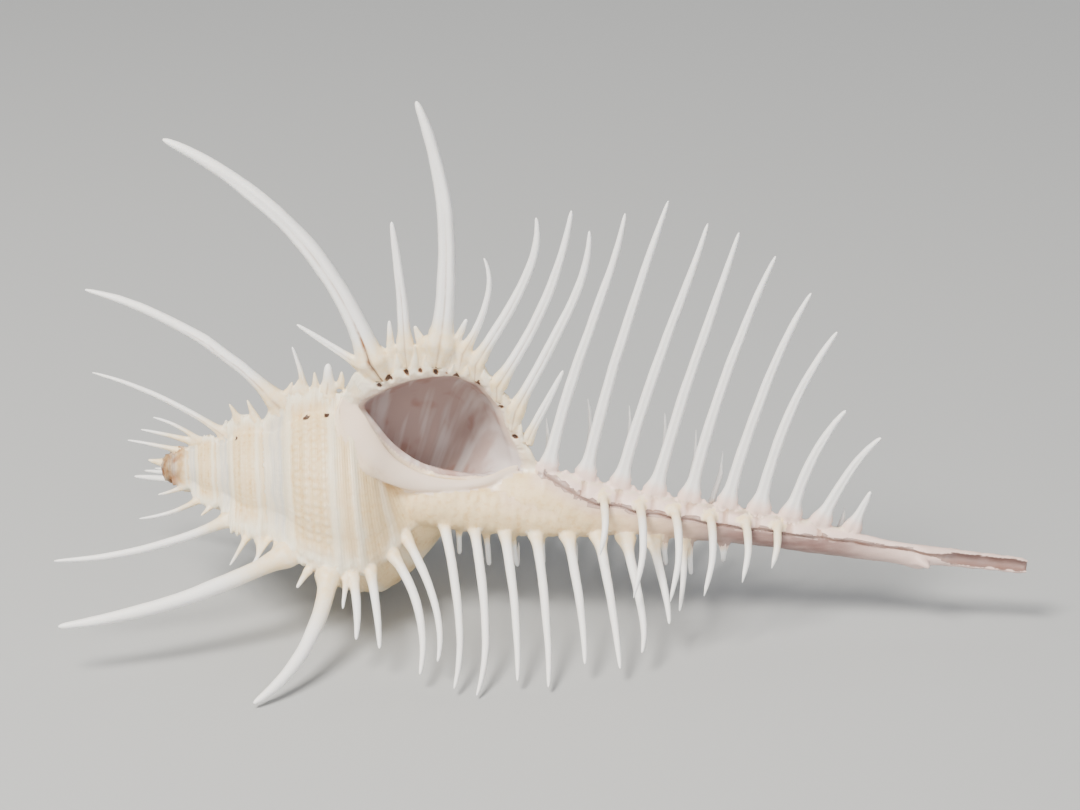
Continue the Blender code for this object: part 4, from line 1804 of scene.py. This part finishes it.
    def spines(self, add: Adder, marks: Marks, place_on: Socket, colour: Socket) -> Socket:
        """Lays white varices and spines, creamy at the foot, over a colour.

        Args:
            add: Adds a node to the material.
            marks: The marks of the mesh, as sockets.
            place_on: The place on the piece.
            colour: The colour under them.

        Returns:
            The colour.
        """
        rough = add(NOISE, {"Scale": 1.0 / (1.6 * MM), "Detail": 4.0, "Roughness": 0.55}, {"Vector": place_on})
        rough = add(RANGE, SMOOTH | {"From Min": 0.35, "From Max": 0.62, "To Min": 0.55}, {"Value": rough})
        share = add(RANGE, SMOOTH | {"From Min": 0.15, "From Max": 0.8}, {"Value": marks[Mark.VARIX]})
        share = add(MATH, TIMES, {0: share, 1: rough})
        colour = add(MIX, COLOURS | {7: linear(self.varix)}, {"Factor": share, 6: colour}, output=2)
        streak = add(NOISE, COARSE | {"Scale": 1.0 / (1.2 * MM)}, {"Vector": place_on})
        streak = add(RANGE, PATCHY | {"To Max": 0.35}, {"Value": streak})
        foot = add(MIX, COLOURS | {6: linear(self.foot), 7: linear(self.spine)}, {"Factor": streak}, output=2)
        foot = add(MIX, COLOURS | {7: linear(self.canal)}, {"Factor": marks[Mark.CANAL], 6: foot}, output=2)
        white = add(RANGE, SMOOTH | {"From Min": 0.02}, {"Value": marks[Mark.SPINE]})
        spine = add(MIX, COLOURS | {7: linear(self.spine)}, {"Factor": white, 6: foot}, output=2)
        on_spine = add(RANGE, SMOOTH | {"From Max": 0.04}, {"Value": marks[Mark.SPINE]})
        return add(MIX, COLOURS, {"Factor": on_spine, 6: colour, 7: spine}, output=2)

    def canal_wall(self, add: Adder, marks: Marks, place_on: Socket, colour: Socket) -> Socket:
        """Lays the canal over a colour: pinkish white, with mauve below its slit and in its trough, darkened there as
        painted shade.

        Args:
            add: Adds a node to the material.
            marks: The marks of the mesh, as sockets.
            place_on: The place on the piece.
            colour: The colour under it.

        Returns:
            The colour.
        """
        along = add(STRETCH, {"Scale": (0.22, 1.0, 1.0)}, {"Vector": place_on})
        streaks = add(NOISE, FINE | {"Scale": 1.0 / (1.1 * MM)}, {"Vector": along})
        streaks = add(RANGE, SMOOTH | {"From Min": 0.34, "From Max": 0.66, "To Min": 0.84}, {"Value": streaks})
        far = add(SEPARATE, links={"Vector": place_on}, output="X")
        begins, full, fades, gone = ((at * math.cos(AXIS_DIP) + VANISHING_POINT[0]) * MM for at in self.mauve_stations)
        fade_in = {"From Min": begins, "From Max": full, "To Min": 0.3, "To Max": 0.95}
        fade_out = {"From Min": fades, "From Max": gone, "To Min": 1.0, "To Max": 0.22}
        deepens = add(RANGE, SMOOTH | fade_in, {"Value": far})
        pales = add(RANGE, SMOOTH | fade_out, {"Value": far})
        ridge = add(RANGE, SMOOTH | {"From Min": 0.16, "From Max": 0.0, "To Min": 0.1}, {"Value": marks[Mark.RELIEF]})
        mauve = streaks
        for share in (deepens, ridge, pales):
            mauve = add(MATH, TIMES, {0: mauve, 1: share})
        # The slit and the trough take the full mauve, as painted shade in the recess.
        trough = add(RANGE, SMOOTH | {"From Max": 0.2}, {"Value": marks[Mark.INSIDE]})
        mauve = add(MATH, LARGER, {0: mauve, 1: trough})
        wall = add(MIX, COLOURS | {6: linear(self.canal), 7: linear(self.canal_mauve_and_shade)}, {"Factor": mauve}, output=2)
        bare_wall = {"From Min": 0.9, "From Max": 0.2, "To Min": 0.35}
        off_varix = add(RANGE, SMOOTH | bare_wall, {"Value": marks[Mark.VARIX]})
        off_spine = add(RANGE, SMOOTH | {"From Min": 0.05, "From Max": 0.0}, {"Value": marks[Mark.SPINE]})
        share = marks[Mark.CANAL]
        for bare in (off_varix, off_spine):
            share = add(MATH, TIMES, {0: share, 1: bare})
        return add(MIX, COLOURS, {"Factor": share, 6: colour, 7: wall}, output=2)

    def mouth(self, add: Adder, marks: Marks, place_on: Socket, colour: Socket) -> Socket:
        """Lays the glazed callus and the mauve inside, with its pale streaks, over a colour.

        Args:
            add: Adds a node to the material.
            marks: The marks of the mesh, as sockets.
            place_on: The place on the piece.
            colour: The colour under them.

        Returns:
            The colour.
        """
        outer = add(RANGE, SMOOTH | {"From Min": 1.0, "From Max": 0.0}, {"Value": marks[Mark.INSIDE]})
        share = add(MATH, TIMES, {0: marks[Mark.GLAZE], 1: outer})
        colour = add(MIX, COLOURS | {7: linear(self.glaze)}, {"Factor": share, 6: colour}, output=2)
        across = add(MATH, TIMES | {1: 0.34}, {0: marks[Mark.STATION]})
        along = add(COMBINE, links={"X": across, "Y": marks[Mark.RELIEF]})
        wavy = add(NOISE, {"Scale": 1.0, "Detail": 2.5, "Roughness": 0.6}, {"Vector": along})
        wavy = add(RANGE, SMOOTH | {"From Min": 0.46, "From Max": 0.62, "To Max": 0.85}, {"Value": wavy})
        cloud = add(NOISE, COARSE | {"Scale": 1.0 / (5.0 * MM)}, {"Vector": place_on})
        cloud = add(RANGE, SMOOTH | {"From Min": 0.5, "From Max": 0.66, "To Max": 0.6}, {"Value": cloud})
        inner = add(MIX, COLOURS | {6: linear(self.inside), 7: linear(self.inside_brown)}, {"Factor": cloud}, output=2)
        inner = add(MIX, COLOURS | {7: linear(self.inside_pale)}, {"Factor": wavy, 6: inner}, output=2)
        rim = add(RANGE, SMOOTH | {"From Min": 0.3, "To Max": 0.85}, {"Value": marks[Mark.GLAZE]})
        inner = add(MIX, COLOURS | {7: linear(self.glaze)}, {"Factor": rim, 6: inner}, output=2)
        return add(MIX, COLOURS, {"Factor": marks[Mark.INSIDE], 6: colour, 7: inner}, output=2)

    def paint_wear_and_shade(self, add: Adder, marks: Marks, place_on: Socket, colour: Socket) -> Socket:
        """Lays the brown of the worn apex, and painted shade in grooves, seams, the slit and the pits, over a colour.

        Args:
            add: Adds a node to the material.
            marks: The marks of the mesh, as sockets.
            place_on: The place on the piece.
            colour: The colour under it.

        Returns:
            The colour.
        """
        blotch = add(NOISE, FINE | {"Scale": 1.0 / (2.2 * MM)}, {"Vector": place_on})
        blotch = add(RANGE, SMOOTH | {"From Min": 0.36, "From Max": 0.58, "To Min": 0.45}, {"Value": blotch})
        wear_and_shade_share = add(RANGE, SMOOTH | {"From Min": 0.1, "From Max": 0.75}, {"Value": marks[Mark.DIRT]})
        wear_and_shade_share = add(MATH, TIMES, {0: wear_and_shade_share, 1: blotch})
        colour = add(MIX, COLOURS | {7: linear(self.dirt)}, {"Factor": wear_and_shade_share, 6: colour}, output=2)
        # Near-black painted shade in the pits and the deepest groove, with a touch on the most worn apex.
        deep = add(RANGE, SMOOTH | {"From Min": 0.6}, {"Value": marks[Mark.DIRT]})
        return add(MIX, COLOURS | {7: linear(self.pit)}, {"Factor": deep, 6: colour}, output=2)

    def gloss(self, add: Adder, place_on: Socket, shine: Socket) -> Socket:
        """Works out the roughness: satin outside, wet-looking on the glaze.

        Args:
            add: Adds a node to the material.
            place_on: The place on the piece.
            shine: How glazed the shell is.

        Returns:
            The roughness.
        """
        dull = add(NOISE, FINE | {"Scale": 1.0 / (0.8 * MM)}, {"Vector": place_on})
        dull = add(RANGE, PATCHY | {"To Min": 0.36, "To Max": 0.5}, {"Value": dull})
        return add(MIX, {3: 0.2}, {"Factor": shine, 2: dull})

    def grain(self, add: Adder, marks: Marks, place_on: Socket, shine: Socket) -> Socket:
        """Works out the fine grain, with spiral lines along the cords.

        Args:
            add: Adds a node to the material.
            marks: The marks of the mesh, as sockets.
            place_on: The place on the piece.
            shine: How glazed the shell is.

        Returns:
            The normal.
        """
        fine = add(NOISE, FINE | {"Scale": 1.0 / (self.grain_mm * MM)}, {"Vector": place_on})
        matt = add(RANGE, SMOOTH | {"From Max": 0.8, "To Min": 1.0, "To Max": 0.05}, {"Value": shine})
        fine = add(MATH, TIMES, {0: fine, 1: matt})
        lines = add(MATH, TIMES | {1: math.tau / 0.55}, {0: marks[Mark.STATION]})
        lines = add(MATH, {"operation": "SINE"}, {0: lines})
        lines = add(MATH, TIMES | {1: 0.28}, {0: lines})
        grown_on = add(MATH, PLUS, {0: marks[Mark.SPINE], 1: marks[Mark.CANAL]})
        plain = add(RANGE, SMOOTH | {"From Min": 0.4, "From Max": 0.0}, {"Value": grown_on})
        lines = add(MATH, TIMES, {0: lines, 1: plain})
        matt = add(RANGE, SMOOTH | {"From Min": 0.6, "From Max": 0.0}, {"Value": shine})
        lines = add(MATH, TIMES, {0: lines, 1: matt})
        height = add(MATH, PLUS, {0: fine, 1: lines})
        return add(BUMP, {"Strength": 0.5, "Distance": 0.1 * MM}, {"Height": height})


@dataclass
class Murex:
    """The whole shell."""

    finish: ShellFinish
    lip_end: float = 57.5
    lower_flare_from: float = 41.0
    back_tint_from: float = 68.0
    knobs_from: float = 60.0
    spur_from: float = 100.0
    old_parent: float = 46.0
    seed_step: float = 1.3

    def foot(self, comb: Comb, station: float) -> float:
        """Measures how far from the axis a spine of a comb stands.

        Args:
            comb: The comb.
            station: The spine's station.

        Returns:
            The radius.
        """
        line = np.array(WHORL_OUTLINE)
        local = station / comb.size
        whorl = 0.0
        if local < line[-1, 0]:
            whorl = np.interp(local, line[:, 0], line[:, 1]) * comb.size
            whorl += comb.varix * np.interp(local, line[:, 0], line[:, 2])
        return float(max(Canal().foot(station, comb.clock, comb.size), whorl))

    def main_spine(self, comb: Comb, row: Sequence[float], number: int) -> Spine:
        """Sets out one main spine of a comb.

        Args:
            comb: The comb.
            row: The spine's row of the comb's table.
            number: How many spines came before it.

        Returns:
            The spine.
        """
        station, length, lean, sweep, flick, width = row
        at = station * comb.scale
        on_canal = comb is not Comb.LOWER and at / comb.size > CANAL_ALONE
        spine = Spine(comb.clock, at, self.foot(comb, at), length * comb.scale, lean, sweep, flick, width * comb.scale)
        spine.swing = comb.swing
        spine.parent = min(at / comb.size, CANAL_ALONE)
        spine.seed = number * self.seed_step
        spine.cream = 3.0 if on_canal else 15.0 if comb is Comb.LOWER and width > 1.0 else 6.0
        spine.flare = 0.95 if on_canal or comb is Comb.LOWER and at > self.lower_flare_from else 0.5
        spine.canal = 0.95 if on_canal and (comb is Comb.UPPER or at > self.back_tint_from) else 0.0
        if comb is Comb.UPPER and at < self.lip_end:
            pit = min(GROOVES, key=lambda groove: abs(groove[3] - at))
            spine.root = (pit[0] + (at - pit[3]), pit[1] + 0.7)
        return spine

    def combs(self) -> list[Form]:
        """Builds every main spine and thorn.

        Returns:
            The closed spines.
        """
        spines = []
        for comb, table in ((Comb.UPPER, UPPER_COMB), (Comb.BACK, UPPER_COMB), (Comb.LOWER, LOWER_COMB)):
            for row in table:
                spines.append(self.main_spine(comb, row, len(spines)))
            log.info("%s comb: %d main spines", comb.name.lower(), len(table))
        for clock, station, radius, length, lean, sweep, width in OLD_SPINES:
            spine = Spine(clock, station, radius, length, lean, sweep, 0.0, width, blunt=station == BROKEN_SPINE)
            spine.parent, spine.seed = self.old_parent, len(spines) * self.seed_step
            spines.append(spine)
        skin, canal = WhorlSkin(), Canal()
        for clock, station, length, lean, width in THORNS:
            radius = max(skin.reach(station, clock), float(canal.foot(station, clock, 0.0)))
            spine = Spine(clock, station, radius, length, lean, -6.0, 0.0, width)
            spine.parent, spine.seed = self.old_parent, len(spines) * self.seed_step
            spine.canal = 1.0 if station > self.spur_from else 0.95 * (station > self.knobs_from)
            spines.append(spine)
        log.info("older spines: %d, thorns: %d", len(OLD_SPINES), len(THORNS))
        return [spine.build() for spine in spines]

    def hooks(self) -> list[Form]:
        """Builds the secondary spines of the three combs.

        Returns:
            The closed spines.
        """
        forms = []
        tables = (
            (Comb.UPPER, UPPER_SECONDARIES, 1.0, (98.0, 124.0, 142.0), 1.0),
            (Comb.LOWER, LOWER_SECONDARIES, 0.75, (60.0, 92.0, 170.0), -9.0),
            (Comb.BACK, BACK_SECONDARIES, Comb.BACK.size, (98.0, 122.0, 132.0), -9.0),
        )
        for comb, table, size, headings, cream in tables:
            for station, length in table:
                seed = len(forms) * 0.7
                hook = HookSpine(comb.clock, station, length, size, seed, headings=headings, cream=cream)
                forms.append(hook.build())
            log.info("%s comb: %d secondary spines", comb.name.lower(), len(table))
        return forms

    def build(self) -> bpy.types.Object:
        """Builds the shell and gives it its finish.

        Returns:
            The piece, in place of the node.
        """
        skin = WhorlSkin().build()
        grown = [Canal().build(), BaseWall().build(), *self.combs(), *self.hooks()]
        pits = [Pit(*row[:3]).build() for row in GROOVES]
        whorls = WhorlSkin()
        for clock, station, width in OLD_PITS:
            pits.append(Pit(station, whorls.reach(station, clock) - 0.1, width, clock).build())
        steps = (
            (Join.ADD, grown),
            (Join.CUT, [Mouth().build()]),
            (Join.ADD, [Callus().build()]),
            (Join.CUT, [Slit().build(), *pits]),
        )
        mesh = Whole().build(skin, steps)
        mesh.name = "murex_shell_surface"
        mesh.materials.clear()
        mesh.materials.append(self.finish.build())
        mesh.polygons.foreach_set("material_index", [0] * len(mesh.polygons))
        piece = show(mesh.name, mesh)
        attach(piece, BODY)
        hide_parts(NODE)
        log.info("shell: %d triangles", sum(len(face.vertices) - 2 for face in mesh.polygons))
        return piece


@dataclass
class Studio:
    """The plain pale floor, soft lights and camera."""

    camera_at: tuple[float, float, float] = (27.44, -416.53, 199.67)
    camera_sees: tuple[float, float, float] = (-1.70, -0.27, 31.08)
    lens: float = 101.6
    lamps_aim: tuple[float, float, float] = (0.0, 0.0, 0.03)
    floor_colour: str = "aeb1b4"
    sky_colour: str = "e8ebf0"

    def floor(self) -> None:
        """Lays the floor."""
        shape = bmesh.new()
        bmesh.ops.create_grid(shape, x_segments=1, y_segments=1, size=3.0)
        mesh = bpy.data.meshes.new("floor")
        shape.to_mesh(mesh)
        shape.free()
        floor = show("floor", mesh)
        # Matt paper, which gives the eye only a soft shadow.
        material = bpy.data.materials.new("matt_paper")
        material.use_nodes = True
        surface = material.node_tree.nodes["Principled BSDF"]
        surface.inputs["Base Color"].default_value = linear(self.floor_colour)
        surface.inputs["Roughness"].default_value = 0.9
        mesh.materials.append(material)

    def lamp(self, name: str, at: tuple[float, float, float], size: float, power: float, tint: str) -> None:
        """Adds a soft square light that points at the shell.

        Args:
            name: Its name.
            at: Where it stands, in metres.
            size: The length of its side, in metres.
            power: Its power, in watts.
            tint: Its colour, as sRGB hex.
        """
        data = bpy.data.lights.new(name, "AREA")
        data.shape = "SQUARE"
        data.size = size
        data.energy = power
        data.color = linear(tint)[:3]
        light = show(name, data)
        light.location = at
        light.rotation_euler = (Vector(self.lamps_aim) - Vector(at)).to_track_quat("-Z", "Y").to_euler()

    def camera(self) -> None:
        """Places the camera at the photograph's angle."""
        data = bpy.data.cameras.new("camera")
        data.lens = self.lens
        data.sensor_width = 36.0
        data.clip_start = 0.01
        camera = show("camera", data)
        at, sees = Vector(self.camera_at) * MM, Vector(self.camera_sees) * MM
        camera.location = at
        camera.rotation_euler = (sees - at).to_track_quat("-Z", "Y").to_euler()
        bpy.context.scene.camera = camera

    def build(self) -> None:
        """Builds the studio."""
        self.floor()
        self.lamp("key", (-0.28, -0.40, 0.70), 0.30, 15.0, "fff8ec")
        self.lamp("front", (0.05, -0.75, 0.30), 0.40, 3.2, "fffaf4")
        self.lamp("fill", (0.6, -0.5, 0.35), 0.6, 1.3, "f6f8ff")
        self.lamp("back", (0.1, 0.6, 0.6), 0.6, 1.8, "ffffff")
        world = bpy.data.worlds.new("studio")
        world.use_nodes = True
        sky = world.node_tree.nodes["Background"]
        sky.inputs["Color"].default_value = linear(self.sky_colour)
        sky.inputs["Strength"].default_value = 0.2
        bpy.context.scene.world = world
        self.camera()


def main() -> None:
    """Builds the shell and the studio."""
    logging.basicConfig(level=logging.INFO, format="%(name)s %(message)s")
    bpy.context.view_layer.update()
    Murex(ShellFinish()).build()
    Studio().build()


if __name__ == "__main__":
    main()
